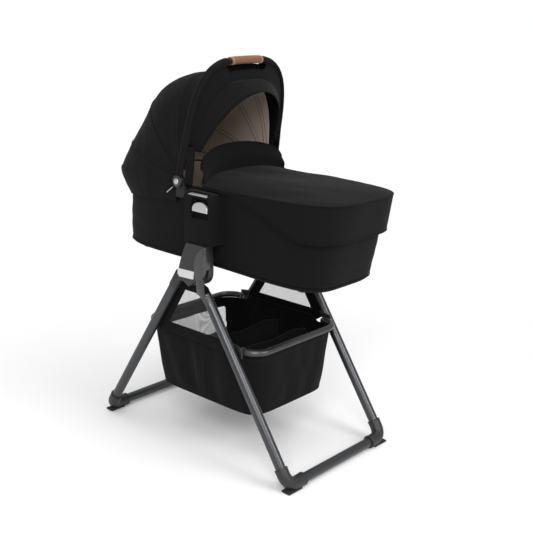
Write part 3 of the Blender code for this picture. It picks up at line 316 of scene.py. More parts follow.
for end_name, end in ENDS:
    body = "stand_" + end_name
    for side_name, side in SIDES:
        tag = end_name + "_" + side_name
        foot, collar = (np.array(leg_at(end, side, z)) for z in (CORNER_Z, COLLAR_Z))
        mouth = foot - (0.0, side * BAR_MOUTH, 0.0)
        first = foot + (collar - foot) / np.linalg.norm(collar - foot) * CORNER_TURN
        last = foot + (mouth - foot) / BAR_MOUTH * CORNER_TURN
        line = [collar + (first - collar) * t for t in (0, 0.5)]
        line += [first * (1 - t) ** 2 + foot * 2 * t * (1 - t) + last * t ** 2
                 for t in np.linspace(0, 1, 17)]
        line += [last + (mouth - last) * t for t in (0.5, 1)]
        elbow = sweep("corner_elbow_" + tag, line, CORNER_R, PLASTIC, sides=40)
        under = bmesh.new()
        under.from_mesh(elbow.data)
        cut = bmesh.ops.bisect_plane(under, geom=under.verts[:] + under.edges[:] + under.faces[:],
                                     plane_co=(0, 0, UNDERSIDE), plane_no=(0, 0, -1), clear_outer=True)
        rim = [e for e in cut["geom_cut"] if isinstance(e, bmesh.types.BMEdge)]
        bmesh.ops.contextual_create(under, geom=rim)
        under.to_mesh(elbow.data)
        under.free()
        soften(elbow, 0.0016, 3, 50.0)
        place(elbow, body, "dark_plastic", "corner_" + tag)
        for lip_name, at, towards in (("leg", collar, first), ("bar", mouth, last)):
            inward = (towards - at) / np.linalg.norm(towards - at)
            lip = round_bar("corner_lip_%s_%s" % (lip_name, tag), at - inward * 0.0002, at + inward * 0.0050,
                            CORNER_R + 0.0008, PLASTIC, 0.0012)
            place(lip, body, "dark_plastic")
        sole_y = sorted((side * (LEG_Y + SOLE_OUT), side * (LEG_Y - SOLE_IN)))
        sole = block("rubber_sole_" + tag, (foot[0] - SOLE_HALF, foot[0] + SOLE_HALF), sole_y,
                     (0.0012, 0.0072), RUBBER, 0.0022)
        place(sole, body, "sole_rubber", "sole_" + tag)
        for number in range(RIB_COUNT):
            y = sole_y[0] + 0.0065 + number * RIB_PITCH
            rib = block("sole_rib_%d_%s" % (number, tag), (foot[0] - 0.0135, foot[0] + 0.0135),
                        (y - RIB_HALF, y + RIB_HALF), (0.0, 0.0020), RUBBER, 0.0006, 2)
            place(rib, body, "sole_rubber")


# Hubs: on each side a moulded plate with a flat cheek holds the head leg, the fold pin, a pale bare
# name plate and the tongue for the carrycot. The creased, leaf-shaped leg top swings over the pin in
# a thin layer outside the cheek, and its neck runs down into the foot leg's tube.
FOLD_X = 0.0
FOLD_Z = 0.570
HUB_TOP_Z = 0.6510
HUB_IN_Y, HUB_MID_Y = 0.1965, 0.2165
CHEEK_OUT_Y = 0.2303       # the leaf swings over the cheek, so it lies outside this
LEAF_IN_Y, LEAF_OUT_Y = 0.2309, 0.2400
LEAF_GAP = 0.0018          # between the cheek's edge and the leaf's
LEAF_TIP = (HUB_X + 0.081, HUB_TOP_Z + 0.001)
LEAF_RIDGE_X = HUB_X + 0.0775
RIDGE_LOW_Z = 0.556
CREASE = 0.0008            # half the crease's width
SOCKET_R = 0.0168
PIN_R = 0.008
# Polyamide moulded in a polished tool: half gloss, so that the leaf's faces catch the light
GLOSS = grain(finish("dark_gloss_plastic", "2B2B2C", 0.30, Coat_Weight=0.2), 0.0011, 0.00001)
# Satin aluminium of the name plate: pale and even
PALE = finish("pale_name_plate", "C9CACB", 0.40, Metallic=0.2)
# Turned steel: bright, with a soft reflection
STEEL = finish("pivot_steel", "A9AAAC", 0.32, Metallic=1.0)


def plate(name, outline, y0, y1, finish_used, edge=0.0, segments=3):
    """An outline of (x, z) points thickened across from y0 to y1, its edges rounded."""
    mesh = bpy.data.meshes.new(name)
    mesh.from_pydata([(px, y0, pz) for px, pz in outline], [], [list(range(len(outline)))])
    made = link_new(name, mesh)
    bpy.context.view_layer.objects.active = made
    made.select_set(True)
    bpy.ops.object.mode_set(mode="EDIT")
    bpy.ops.mesh.select_all(action="SELECT")
    bpy.ops.mesh.extrude_region_move(TRANSFORM_OT_translate={"value": (0, y1 - y0, 0)})
    bpy.ops.mesh.select_all(action="SELECT")
    bpy.ops.mesh.normals_make_consistent(inside=False)
    bpy.ops.object.mode_set(mode="OBJECT")
    made.select_set(False)
    mesh.materials.append(finish_used)
    if edge:
        soften(made, edge, segments)
    return made


def arc(cx, cz, radius, start, stop, steps):
    """Points of a circle from one angle in degrees to another."""
    turns = np.radians(np.linspace(start, stop, steps + 1))
    return [(cx + radius * math.cos(a), cz + radius * math.sin(a)) for a in turns]


def rounded(points, radius, steps=6):
    """An outline with its corners rounded; radius is one size or one for each corner."""
    made = []
    sizes = radius if hasattr(radius, "__len__") else [radius] * len(points)
    for i, corner in enumerate(points):
        if not sizes[i]:
            made.append(corner)
            continue
        p = np.array(corner)
        before = np.array(points[i - 1]) - p
        after = np.array(points[(i + 1) % len(points)]) - p
        size = min(sizes[i], np.linalg.norm(before) * 0.45, np.linalg.norm(after) * 0.45)
        a = p + before / np.linalg.norm(before) * size
        b = p + after / np.linalg.norm(after) * size
        for t in np.linspace(0, 1, steps + 1):
            made.append(tuple(a * (1 - t) ** 2 + p * 2 * t * (1 - t) + b * t ** 2))
    return made


def join(name, pieces):
    """Separate shells of one moulding, kept as one piece."""
    for piece in pieces:
        piece.select_set(True)
    bpy.context.view_layer.objects.active = pieces[0]
    bpy.ops.object.join()
    pieces[0].name = name
    pieces[0].select_set(False)
    return pieces[0]


def curved(points, steps=8):
    """A smooth open line through points."""
    p = [np.array(q, float) for q in points]
    p = [2 * p[0] - p[1]] + p + [2 * p[-1] - p[-2]]
    made = []
    for a, b, c, d in zip(p, p[1:], p[2:], p[3:]):
        for t in np.linspace(0, 1, steps, endpoint=False):
            made.append(0.5 * (2 * b + (c - a) * t + (2 * a - 5 * b + 4 * c - d) * t ** 2
                               + (3 * b - a - 3 * c + d) * t ** 3))
    made.append(p[-2])
    return [tuple(q) for q in made]


def from_hub(*points):
    """(x, z) points whose x is measured from the stand's middle."""
    return [(HUB_X + px, pz) for px, pz in points]


hub_low = from_hub((0.008, 0.5205), (-0.016, 0.5330))
hub_edge = curved(from_hub((-0.0440, 0.529), (-0.0365, 0.551), (-0.0320, 0.574), (-0.0196, 0.609),
                           (0.0, HUB_TOP_Z)))
leaf_edge = curved([(LEAF_TIP[0] - 0.0005, LEAF_TIP[1])]
                   + from_hub((0.056, 0.633), (0.040, 0.606), (0.0375, 0.588), (0.0400, 0.5695),
                              (0.0445, 0.550)))
leaf_right = curved(from_hub((0.0740, 0.556), (0.0825, 0.575), (0.0860, 0.598), (0.0855, 0.625)))
hub_outline = (from_hub((0.076, HUB_TOP_Z), (0.079, 0.600)) + arc(FOLD_X + 0.010, FOLD_Z, 0.039, 0, -90, 20)
               + hub_low + hub_edge)
cheek_outline = ([(LEAF_TIP[0] - 0.005, HUB_TOP_Z)] + [(px - LEAF_GAP, pz) for px, pz in leaf_edge[2:]]
                 + from_hub((0.0400, 0.5425)) + hub_low + hub_edge)
name_outline = rounded(from_hub((-0.0360, 0.5680), (0.0330, 0.5700), (0.0290, 0.5460), (-0.0390, 0.5430)),
                       0.003)
core_outline = ([(px, pz) for px, pz in leaf_edge if pz > 0.584]
                + from_hub((0.0400, 0.584), (0.0840, 0.584), (0.0850, 0.625)))
# The neck at falling heights: its middle, its half width, and where it starts and ends across
NECK_ROUND_Z = 0.508
NECK = ((0.5740, HUB_X + 0.0605, 0.0140, LEAF_IN_Y, 0.2385),
        (0.5560, HUB_X + 0.0595, 0.0150, LEAF_IN_Y, 0.2390),
        (0.5380, HUB_X + 0.0620, 0.0153, LEAF_IN_Y, 0.2395),
        (0.5085, leg_x(1, 0.5085), 0.0155, LEAF_IN_Y, 0.2395),
        (0.5070, leg_x(1, 0.5070), 0.0157, LEG_Y - 0.0150, 0.2392),
        (0.4980, leg_x(1, 0.4980), 0.0160, LEG_Y - 0.0160, 0.2370),
        (0.4900, leg_x(1, 0.4900), 0.0161, LEG_Y - 0.0161, 0.2335),
        (0.4800, leg_x(1, 0.4800), 0.0160, LEG_Y - 0.0160, 0.2320))


def leaf(name, inner, outer):
    """A leaf with a crease: its left half faces out, its right half slopes back to the hub."""
    outline = leaf_edge + leaf_right + [(LEAF_TIP[0] + 0.002, LEAF_TIP[1] - 0.004)]
    rings = []
    for share, depth in ((0.0, 0.0), (0.0, 0.55), (0.05, 0.75), (0.5, 0.90), (0.99, 1.0)):
        ring = []
        for px, pz in outline:
            left = px < LEAF_RIDGE_X - CREASE
            ridge_x = LEAF_RIDGE_X + (-CREASE if left else CREASE)
            ridge_z = min(max(pz, RIDGE_LOW_Z), LEAF_TIP[1] - 0.004)
            top = inner + (outer - inner) * (depth if left else min(depth, 0.12 + 0.88 * share))
            ring.append((px + (ridge_x - px) * share, top, pz + (ridge_z - pz) * share))
        rings.append(ring)
    return skin(name, rings, GLOSS, caps=True, smooth=28)


def leaf_neck(name, side):
    """The leaf's neck: flat where it passes outside the hub, round where it grips the tube."""
    rings = []
    for z, x, half_x, low_y, high_y in NECK:
        middle_y, half_y = (low_y + high_y) / 2, (high_y - low_y) / 2
        bend = 0.75 if z > NECK_ROUND_Z else 1.0
        ring = []
        for turn in np.linspace(0, 2 * math.pi, 41)[:-1]:
            c, s = math.cos(turn), math.sin(turn)
            ring.append((x + half_x * math.copysign(abs(c) ** bend, c),
                         side * (middle_y + half_y * math.copysign(abs(s) ** bend, s)), z))
        rings.append(ring)
    return skin(name, rings, GLOSS, caps=True, smooth=50)


for side_name, side in SIDES:
    hub = [plate("hub_plate_" + side_name, hub_outline, side * HUB_IN_Y, side * HUB_MID_Y, PLASTIC, 0.0022),
           plate("hub_cheek_" + side_name, cheek_outline, side * (HUB_MID_Y - 0.002), side * CHEEK_OUT_Y,
                 PLASTIC, 0.0030, 4),
           block("hub_tongue_" + side_name, (HUB_X + 0.002, HUB_X + 0.050),
                 sorted((side * 0.1985, side * 0.2105)), (HUB_TOP_Z - 0.020, 0.712), PLASTIC, 0.0030),
           round_bar("hub_socket_" + side_name, leg_at(-1, side, 0.505), leg_at(-1, side, 0.550), SOCKET_R,
                     PLASTIC, 0.0015)]
    place(join("side_hub_" + side_name, hub), "stand_head", "dark_plastic", "hub_" + side_name)
    name_plate = plate("name_plate_" + side_name, name_outline, side * (CHEEK_OUT_Y - 0.0006),
                       side * (CHEEK_OUT_Y + 0.0002), PALE)
    place(name_plate, "stand_head", "silver_plastic")

    leg_top = [leaf("leg_leaf_" + side_name, side * LEAF_IN_Y, side * LEAF_OUT_Y),
               plate("leg_core_" + side_name, core_outline, side * (HUB_MID_Y + 0.0003),
                     side * (LEAF_IN_Y + 0.001), GLOSS, 0.0015),
               leaf_neck("leg_neck_" + side_name, side)]
    place(join("leaf_top_" + side_name, leg_top), "stand_foot", "dark_gloss_plastic", "leg_top_" + side_name)
    pin = round_bar("fold_pin_bar_" + side_name, (FOLD_X, side * (HUB_IN_Y - 0.002), FOLD_Z),
                    (FOLD_X, side * (CHEEK_OUT_Y - 0.0010), FOLD_Z), PIN_R, STEEL, 0.0010)
    place(pin, "stand_head", "pivot_steel", "fold_pin_" + side_name)


# Basket hoops: a bent gunmetal tube at each end, with flattened eyes on studs inside the legs, so
# that it swings down flat when the stand closes. Dark brackets hold the studs.
HOOP_Z = 0.355
HOOP_Y = 0.184
HOOP_END = 0.236
HOOP_R = 0.010
HOOP_PIN = 0.180         # the studs' distance from the stand's middle
HOOP_BEND = 0.052
# Zinc-plated steel: the small bright heads of the studs
RIVET = finish("rivet_steel", "8C8D90", 0.3, Metallic=1.0)


def merged(name, node, finish_used, angle=35.0):
    """A copy of a CAD node with its triangles welded, shaded smooth over its rounded places."""
    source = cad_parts[node]
    made = link_new(name, source.data.copy())
    made.data.transform(source.matrix_world)
    shape = bmesh.new()
    shape.from_mesh(made.data)
    bmesh.ops.remove_doubles(shape, verts=shape.verts, dist=0.00001)
    bmesh.ops.dissolve_limit(shape, angle_limit=math.radians(1.0), verts=shape.verts, edges=shape.edges)
    shape.to_mesh(made.data)
    shape.free()
    made.data.materials.clear()
    made.data.materials.append(finish_used)
    made.data.shade_smooth()
    made.data.set_sharp_from_angle(angle=math.radians(angle))
    return made


for end_name, end in ENDS:
    pin_x, next_x = HUB_X + end * HOOP_PIN, HUB_X + end * (HOOP_PIN + 0.001)
    line = [(pin_x, -HOOP_Y, HOOP_Z), (next_x, -HOOP_Y, HOOP_Z)]
    corner_x = HUB_X + end * (HOOP_END - HOOP_BEND)
    for cy, start, stop in ((HOOP_BEND - HOOP_Y, -90, 0), (HOOP_Y - HOOP_BEND, 0, 90)):
        for turn in np.radians(np.linspace(start, stop, 17)):
            line.append((corner_x + end * HOOP_BEND * math.cos(turn), cy + HOOP_BEND * math.sin(turn),
                         HOOP_Z))
    line += [(next_x, HOOP_Y, HOOP_Z), (pin_x, HOOP_Y, HOOP_Z)]
    hoop = sweep("hoop_tube_" + end_name, line, HOOP_R, GUNMETAL, sides=32)
    eyes = [round_bar("hoop_eye_%s_%s" % (end_name, side_name), (pin_x, side * (HOOP_Y - 0.0075), HOOP_Z),
                      (pin_x, side * (HOOP_Y + 0.0075), HOOP_Z), HOOP_R, GUNMETAL, 0.0012)
            for side_name, side in SIDES]
    place(join("basket_hoop_" + end_name, [hoop] + eyes), "hoop_" + end_name, "gunmetal_tube",
          "hoop_" + end_name)
    for side_name, side in SIDES:
        tag = end_name + "_" + side_name
        bracket = merged("hoop_bracket_" + tag, "bracket_" + tag, PLASTIC)
        place(bracket, "stand_" + end_name, "dark_plastic", "bracket_" + tag)
        rivet = round_bar("hoop_rivet_" + tag, (pin_x, side * (HOOP_Y - 0.0112), HOOP_Z),
                          (pin_x, side * (HOOP_Y - 0.0098), HOOP_Z), 0.0070, RIVET, 0.0006)
        place(rivet, "stand_" + end_name, "pivot_steel")


# Basket bag: black woven cloth on a stiff base, hung under the hoops in soft upright folds, with a
# bound hem that stands higher between the legs and a mesh panel in its head end. Two cloth dividers
# stand across it.
BAG_POWER = 7.0
BAG_THICK = 0.0030
BAG_FOLDS = 15
BAG_WAVE = 0.014
BAG_FLOOR_Z, BAG_TOP_Z, BAG_HEM_Z = 0.147, 0.3444, 0.360
BAG_LENGTH, BAG_LENGTH_GAIN = 0.212, 0.024
BAG_WIDTH, BAG_WIDTH_GAIN = 0.167, 0.019
WINDOW_X = HUB_X - 0.185            # the mesh panel is all cloth beyond this,
WINDOW_HALF = 0.148                 # within this of the middle
WINDOW_LOW, WINDOW_HIGH = 0.236, 0.318
DIVIDERS = (0.0, 0.120)
FINE = 2


def woven(name, colour, thread=0.0007, sheen=0.03, roughness=0.88, fleck=0.35, depth=0.00012):
    """Matt woven cloth: crossing threads, their width in metres by the UVs, and melange flecks."""
    made = finish(name, colour, roughness, Sheen_Weight=sheen, Sheen_Roughness=0.45, Specular_IOR_Level=0.12)
    tree = made.node_tree
    shader = tree.nodes["Principled BSDF"]
    place_uv = add_node(tree, "ShaderNodeTexCoord")
    warp, weft = (add_node(tree, "ShaderNodeTexWave", {"Scale": 0.5 / thread / 3.14159, "Distortion": 0.6},
                           {"Vector": place_uv.outputs["UV"]}, bands_direction=way) for way in "XY")
    threads = add_node(tree, "ShaderNodeMath", None, {0: warp.outputs["Fac"], 1: weft.outputs["Fac"]},
                       operation="MULTIPLY")
    bump = add_node(tree, "ShaderNodeBump", {"Distance": depth, "Strength": 1.0},
                    {"Height": threads.outputs[0]})
    tree.links.new(bump.outputs["Normal"], shader.inputs["Normal"])
    melange = add_node(tree, "ShaderNodeTexNoise", {"Scale": 1 / 0.0022, "Detail": 3.0},
                       {"Vector": place_uv.outputs["Object"]})
    base = linear(colour)
    low = tuple(v * (1 - fleck) for v in base[:3]) + (1.0,)
    high = tuple(v * (1 + fleck) for v in base[:3]) + (1.0,)
    shade = add_node(tree, "ShaderNodeMix", {6: low, 7: high}, {0: melange.outputs["Fac"]},
                     data_type="RGBA")
    tree.links.new(shade.outputs[2], shader.inputs["Base Color"])
    return made


# Polyester canvas in a black melange: matt, with flecks of 2.2 mm. Its threads are drawn 0.7 mm wide,
# coarser than such a cloth's, so that the weave shows.
CLOTH = woven("black_cloth", "0D0B0B")
# Woven polyester tape: a shade darker. Its threads are drawn 0.5 mm wide, coarser than real.
BINDING = woven("black_binding", "090808", thread=0.0005)
# Twisted polyester sewing thread: a little smoother than the cloth
THREAD = finish("black_thread", "0C0B0B", 0.7)


def even_turns(length, width, power, count):
    """Angles that space the points of a plan outline evenly along it."""
    fine = np.linspace(0, 2 * np.pi, 16001)
    way = travelled(np.stack(squircle(fine, length, width, power), 1))
    return np.interp(way[-1] * np.arange(count) / count, way, fine)


def facing(rows, round_rows=True):
    """Unit normals of a grid of points."""
    down = np.gradient(rows, axis=0)
    over = (np.roll(rows, -1, 1) - np.roll(rows, 1, 1)) if round_rows else np.gradient(rows, axis=1)
    out = np.cross(over, down)
    return out / np.maximum(np.linalg.norm(out, axis=2, keepdims=True), 1e-12)


def rumple(rows, depth, size, seed=0.0, stretch=(1, 1, 1), round_rows=True, hold=None):
    """Soft wrinkles: noise of a real size moves points along their normals; hold keeps some still."""
    out = facing(rows, round_rows)
    shift = np.array([[noise.noise(Vector((p * stretch / size + seed).tolist())) for p in row]
                      for row in rows])
    if hold is not None:
        shift = shift * hold
    return rows + out * shift[:, :, None] * depth


def thicken(piece, thickness, offset=-1.0):
    """Give a cloth its real thickness, on the side away from its normals for offset -1."""
    change = piece.modifiers.new("thickness", "SOLIDIFY")
    change.thickness = thickness
    change.offset = offset
    change.use_even_offset = True
    return fast(piece)


BAG_TURNS = even_turns(0.236, 0.186, BAG_POWER, 240 * FINE)


def smooth_step(low, high, value):
    """0 below low, 1 above high, and an even ease between them."""
    t = np.clip((np.asarray(value, float) - low) / (high - low), 0, 1)
    return t * t * (3 - 2 * t)


def bag_ring(share, grow=0.0):
    """A ring of the bag's wall: share runs from 0 at the floor to 1 at the hem."""
    x, y = squircle(BAG_TURNS, BAG_LENGTH + BAG_LENGTH_GAIN * share + grow,
                    BAG_WIDTH + BAG_WIDTH_GAIN * share + grow, BAG_POWER)
    way = np.arange(len(BAG_TURNS)) / len(BAG_TURNS)
    depth = BAG_WAVE * (1 - 0.85 * smooth_step(0.14, 0.20, x))
    fold = 1 + depth * np.sin(2 * np.pi * BAG_FOLDS * way) * math.sin(math.pi * share)
    lift = smooth_step(0, 1, (HOOP_PIN - 0.026 - np.abs(x)) / 0.024) * (BAG_HEM_Z - BAG_TOP_Z)
    rise = smooth_step(0.75, 1.0, share)
    z = BAG_FLOOR_Z + (BAG_TOP_Z - BAG_FLOOR_Z) * share + lift * rise
    return np.stack([HUB_X + x * fold, y * fold, z + 0 * x], 1)


def soft_bag(piece):
    """Give a piece of the bag's cloth its own copy of its mesh."""
    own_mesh(piece)


def in_window(face):
    """Whether a face of the bag's wall belongs to the mesh panel."""
    x, y, z = face.calc_center_median()
    return x < WINDOW_X and abs(y) < WINDOW_HALF and WINDOW_LOW < z < WINDOW_HIGH


heights = np.concatenate([[0.0, 0.012, 0.03], np.linspace(0.06, 1.0, 20 * FINE)])
rows = np.array([bag_ring(t) for t in heights])
rows[0] = (rows[0] - (HUB_X, 0, 0)) * (0.965, 0.96, 1) + (HUB_X, 0, 0)
still = smooth_step(0.0, 0.15, heights)[:, None] * (1 - smooth_step(0.88, 1.0, heights))[:, None]
rows = rumple(rows, 0.0040, 0.045, 3.1, (1, 1, 0.45), hold=still)
bag = skin("bag_wall", rows, CLOTH)
shape = bmesh.new()
shape.from_mesh(bag.data)
window = shape.copy()
window_mesh = bpy.data.meshes.new("bag_end_net")
for cloth, mesh, unwanted in ((shape, bag.data, True), (window, window_mesh, False)):
    gone = [face for face in cloth.faces if in_window(face) == unwanted]
    bmesh.ops.delete(cloth, geom=gone, context="FACES")
    cloth.to_mesh(mesh)
    cloth.free()
window_mesh.shade_smooth()
thicken(bag, BAG_THICK)
place(bag, "stand_head", "black_cloth", "basket_bag")
soft_bag(bag)
hem_line = bag_ring(1.0, -BAG_THICK / 2)
hem = sweep("bag_hem", hem_line + (0, 0, -0.0045), 0.0065, BINDING, 0.0024, across=(0, 0, 1), sides=16,
            cyclic=True, square=3.0)
place(hem, "stand_head", "black_cloth")
soft_bag(hem)


def stitches(name, line, out, finish_used, pitch=0.0040, length=0.0027, thick=0.00045):
    """A row of sewn stitches along a line of points, lying on the cloth that faces out."""
    line = np.asarray(line, float)
    out = np.broadcast_to(np.asarray(out, float), line.shape)
    way = travelled(line)
    at = np.arange(pitch / 2, way[-1], pitch)
    middle = np.stack([np.interp(at, way, line[:, k]) for k in range(3)], 1)
    ahead = np.stack([np.interp(at + 0.0005, way, line[:, k]) for k in range(3)], 1) - middle
    ahead /= np.maximum(np.linalg.norm(ahead, axis=1, keepdims=True), 1e-9)
    up = np.stack([np.interp(at, way, out[:, k]) for k in range(3)], 1)
    up -= ahead * (up * ahead).sum(1, keepdims=True)
    up /= np.maximum(np.linalg.norm(up, axis=1, keepdims=True), 1e-9)
    side = np.cross(ahead, up)
    turn = 2 * np.pi * np.arange(6) / 6
    points, faces = [], []
    for along, size, sink in ((-0.5, 0.3, 0.5), (-0.2, 1, 0), (0.2, 1, 0), (0.5, 0.3, 0.5)):
        ring = (middle[:, None] + ahead[:, None] * along * length - up[:, None] * sink * thick
                + side[:, None] * (np.cos(turn) * size * thick)[None, :, None]
                + up[:, None] * (np.sin(turn) * size * thick)[None, :, None])
        points.append(ring)
    points = np.stack(points, 1)
    for n in range(len(at)):
        base = n * 24
        for k in range(3):
            low = base + k * 6
            for i in range(6):
                j = (i + 1) % 6
                faces.append((low + i, low + j, low + 6 + j, low + 6 + i))
        faces.append(tuple(base + i for i in range(5, -1, -1)))
        faces.append(tuple(base + 18 + i for i in range(6)))
    mesh = bpy.data.meshes.new(name)
    mesh.from_pydata(points.reshape(-1, 3).tolist(), [], faces)
    mesh.materials.append(finish_used)
    mesh.shade_smooth()
    return link_new(name, mesh)


hem_out = facing(np.array([bag_ring(0.9), bag_ring(1.0)]))[1]
sewn = bag_ring(1.0, 0.0016) - (0, 0, 0.0135)
seam = stitches("bag_hem_stitches", sewn, hem_out, THREAD)
place(seam, "stand_head", "black_cloth")
soft_bag(seam)

# Stiff base board in the bag, under black cloth
board_line = bag_ring(0.0, -0.004)[::2, :2]
board = skin("bag_base", [[(x * s + HUB_X * (1 - s), y * s, z) for x, y in board_line]
                          for z, s in ((BAG_FLOOR_Z + 0.0004, 0.955), (BAG_FLOOR_Z, 0.945),
                                       (BAG_FLOOR_Z, 0.5), (BAG_FLOOR_Z, 0.02))], CLOTH)
thicken(board, 0.0034, 1.0)
place(board, "stand_head", "black_cloth")
soft_bag(board)

for number, x in enumerate(DIVIDERS, start=1):
    across = np.linspace(-1, 1, 61)
    rows = []
    for t in np.linspace(0, 1, 24):
        half = 0.140 + 0.028 * smooth_step(0, 1, t)
        y = across * half
        top = np.interp(y, (-0.168, -0.105, 0.0, 0.105, 0.168), (0.318, 0.330, 0.322, 0.330, 0.318))
        low = BAG_FLOOR_Z + BAG_THICK + 0.0008
        belly = 0.003 * np.sin(across * 7 + number) * math.sin(math.pi * t)
        rows.append(np.stack([HUB_X + x + 0.002 + belly, y, low + (top - low) * t], 1))
    rows = np.array(rows)
    divider = skin("bag_divider_%d" % number, rows, CLOTH, round_rows=False)
    thicken(divider, 0.0036, 0.0)
    place(divider, "stand_head", "black_cloth", "divider_%d" % number)
    soft_bag(divider)
    top_hem = sweep("divider_hem_%d" % number, rows[-1] - (0, 0, 0.004), 0.0060, BINDING, 0.0031,
                    across=(0, 0, 1), sides=14, square=3.0)
    place(top_hem, "stand_head", "black_cloth")
    soft_bag(top_hem)


# Side nets: see-through grey mesh that closes the sides between the legs above the bag's hem, bound
# all round with black tape.
NET_LOW, NET_HIGH = BAG_HEM_Z + 0.0005, 0.511
NET_Y = 0.2000
TAPE_WIDE, TAPE_THICK = 0.0170, 0.0011


def holed(name, colour, pitch, hole):
    """Knitted net: round see-through openings on a square grid, its pitch in metres by the UVs."""
    made = finish(name, colour, 0.75, Sheen_Weight=0.2)
    tree = made.node_tree
    shader = tree.nodes["Principled BSDF"]
    place_uv = add_node(tree, "ShaderNodeTexCoord")
    cells = add_node(tree, "ShaderNodeTexVoronoi", {"Scale": 1 / pitch, "Randomness": 0.0},
                     {"Vector": place_uv.outputs["UV"]}, voronoi_dimensions="2D")
    solid = add_node(tree, "ShaderNodeMath", {1: hole}, {0: cells.outputs["Distance"]},
                     operation="GREATER_THAN")
    tree.links.new(solid.outputs[0], shader.inputs["Alpha"])
    return made


# Knitted polyester mesh: dark and see-through. Its openings are drawn 2.5 mm wide on a 3 mm grid.
NET = holed("grey_mesh", "222121", 0.0030, 0.425)
for side_name, side in SIDES:
    rows = []
    for t in np.linspace(0, 1, 16):
        z = NET_LOW + (NET_HIGH - NET_LOW) * t
        gap = 0.021 - 0.004 * t
        x0, x1 = leg_x(-1, z) + gap, leg_x(1, z) - gap
        rows.append([(x0 + (x1 - x0) * s, side * NET_Y, z) for s in np.linspace(0, 1, 40)])
    rows = np.array(rows)
    net = skin("side_net_" + side_name, rows, NET, round_rows=False)
    place(net, "stand_head", "grey_mesh", "side_mesh_" + side_name)
    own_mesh(net)
    edges = np.concatenate([rows[0, :-1], rows[:-1, -1], rows[-1, :0:-1], rows[:0:-1, 0]])
    tape = sweep("net_tape_" + side_name, edges + (0, side * 0.0001, 0), TAPE_WIDE, BINDING, TAPE_THICK,
                 across=edges.mean(0) - edges, sides=12, cyclic=True, square=3.0)
    place(tape, "stand_head", "black_cloth")
    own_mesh(tape)

# Mesh panel in the bag's head end, under the hoop
end_net = link_new("bag_end_net", window_mesh)
window_mesh.materials.append(NET)
place(end_net, "stand_head", "grey_mesh")
soft_bag(end_net)


# Carrycot: a padded black cloth tub with a piped lower edge on a stiff base. It widens from the base
# to the rim and hangs deeper towards the foot; the wall wrinkles faintly round its ends.
TUB_BASE_Z = 0.568
RIM_Z = 0.805
BASE_PLAN = np.array((HUB_X + 0.007, 0.405, 0.155, 5.0))
RIM_PLAN = np.array((HUB_X + 0.0435, 0.4215, 0.1815, 4.2))
TUB_WALL = 0.009
TUB_EDGE = 0.014
HANG = 0.011
TUB_TURNS = even_turns(*RIM_PLAN[1:], 144 * FINE)
# The same canvas round a cord: its threads are drawn 0.6 mm wide, coarser than real.
PIPING = woven("piping_cloth", "0B0909", thread=0.0006)


def tub_plan(z):
    """Plan of the tub's outer wall at a height."""
    share = min(1.0, max(0.0, (z - TUB_BASE_Z) / (RIM_Z - TUB_BASE_Z)))
    return BASE_PLAN + (RIM_PLAN - BASE_PLAN) * share


def plan_ring(plan, z, grow=0.0, share=1.0, turns=TUB_TURNS):
    """One closed ring of the tub's plan; share shrinks it towards its centre."""
    x, y = squircle(turns, (plan[1] + grow) * share, (plan[2] + grow) * share, plan[3])
    return np.stack([plan[0] + x, y, np.full(len(turns), z)], 1)


def tub_ring(z, grow=0.0):
    """A ring of the tub's wall."""
    return plan_ring(tub_plan(z), z, grow)


def hung_low(ring):
    """The tub's lower edge hangs deeper towards the foot end."""
    ring = np.array(ring)
    share = np.clip((RIM_Z - 0.02 - ring[:, 2]) / (RIM_Z - 0.02 - TUB_BASE_Z), 0, 1)
    ring[:, 2] -= HANG * smooth_step(-0.05, 0.40, ring[:, 0]) * share
    return ring


rows = [plan_ring(BASE_PLAN, TUB_BASE_Z + TUB_EDGE * (1 - math.cos(a)), -TUB_EDGE * (1 - math.sin(a)))
        for a in np.radians(np.linspace(0, 90, 7))]
wall_z = np.linspace(TUB_BASE_Z + TUB_EDGE, RIM_Z - 0.004, 22 * FINE)[1:]
rows += [tub_ring(z, 0.0010 * math.sin(math.pi * (z - TUB_BASE_Z) / (RIM_Z - TUB_BASE_Z)))
         for z in wall_z]
outer = np.array([hung_low(ring) for ring in rows])
ends = smooth_step(0.26, 0.40, np.abs(outer[:, :, 0] - RIM_PLAN[0]))
by_height = smooth_step(0.0, 0.03, outer[:, :, 2] - TUB_BASE_Z - 0.006)
outer = rumple(outer, 0.0022, 0.075, 5.0, (1, 1, 2.2), hold=ends * by_height)
outer = rumple(outer, 0.0006, 0.030, 9.0, (1, 1, 1.5), hold=(0.25 + 0.75 * ends) * by_height)
rim = [tub_ring(RIM_Z - 0.004 + 0.004 * math.sin(a), -TUB_WALL / 2 + TUB_WALL / 2 * math.cos(a))
       for a in np.radians(np.linspace(20, 160, 7))]
inner = [tub_ring(z, -TUB_WALL) for z in np.linspace(RIM_Z - 0.005, TUB_BASE_Z + 0.020, 8)]
inner.append(plan_ring(BASE_PLAN, TUB_BASE_Z + 0.014, -TUB_WALL - 0.006))
tub = skin("carrycot_tub", list(outer) + rim + inner, CLOTH, caps=True, smooth=60)
place(tub, "bassinet", "black_cloth", "tub")
welt_z = TUB_BASE_Z + 0.0125
welt = sweep("tub_welt", hung_low(tub_ring(welt_z, 0.0002)), 0.0021, PIPING, sides=12, cyclic=True)
place(welt, "bassinet", "black_cloth")
seam_z = welt_z + 0.0075
line = hung_low(tub_ring(seam_z, 0.0005))
out = facing(np.array([tub_ring(seam_z - 0.005), tub_ring(seam_z, 0.0005)]))[1]
place(stitches("tub_welt_stitches", np.vstack([line, line[:1]]), np.vstack([out, out[:1]]), THREAD),
      "bassinet", "black_cloth")

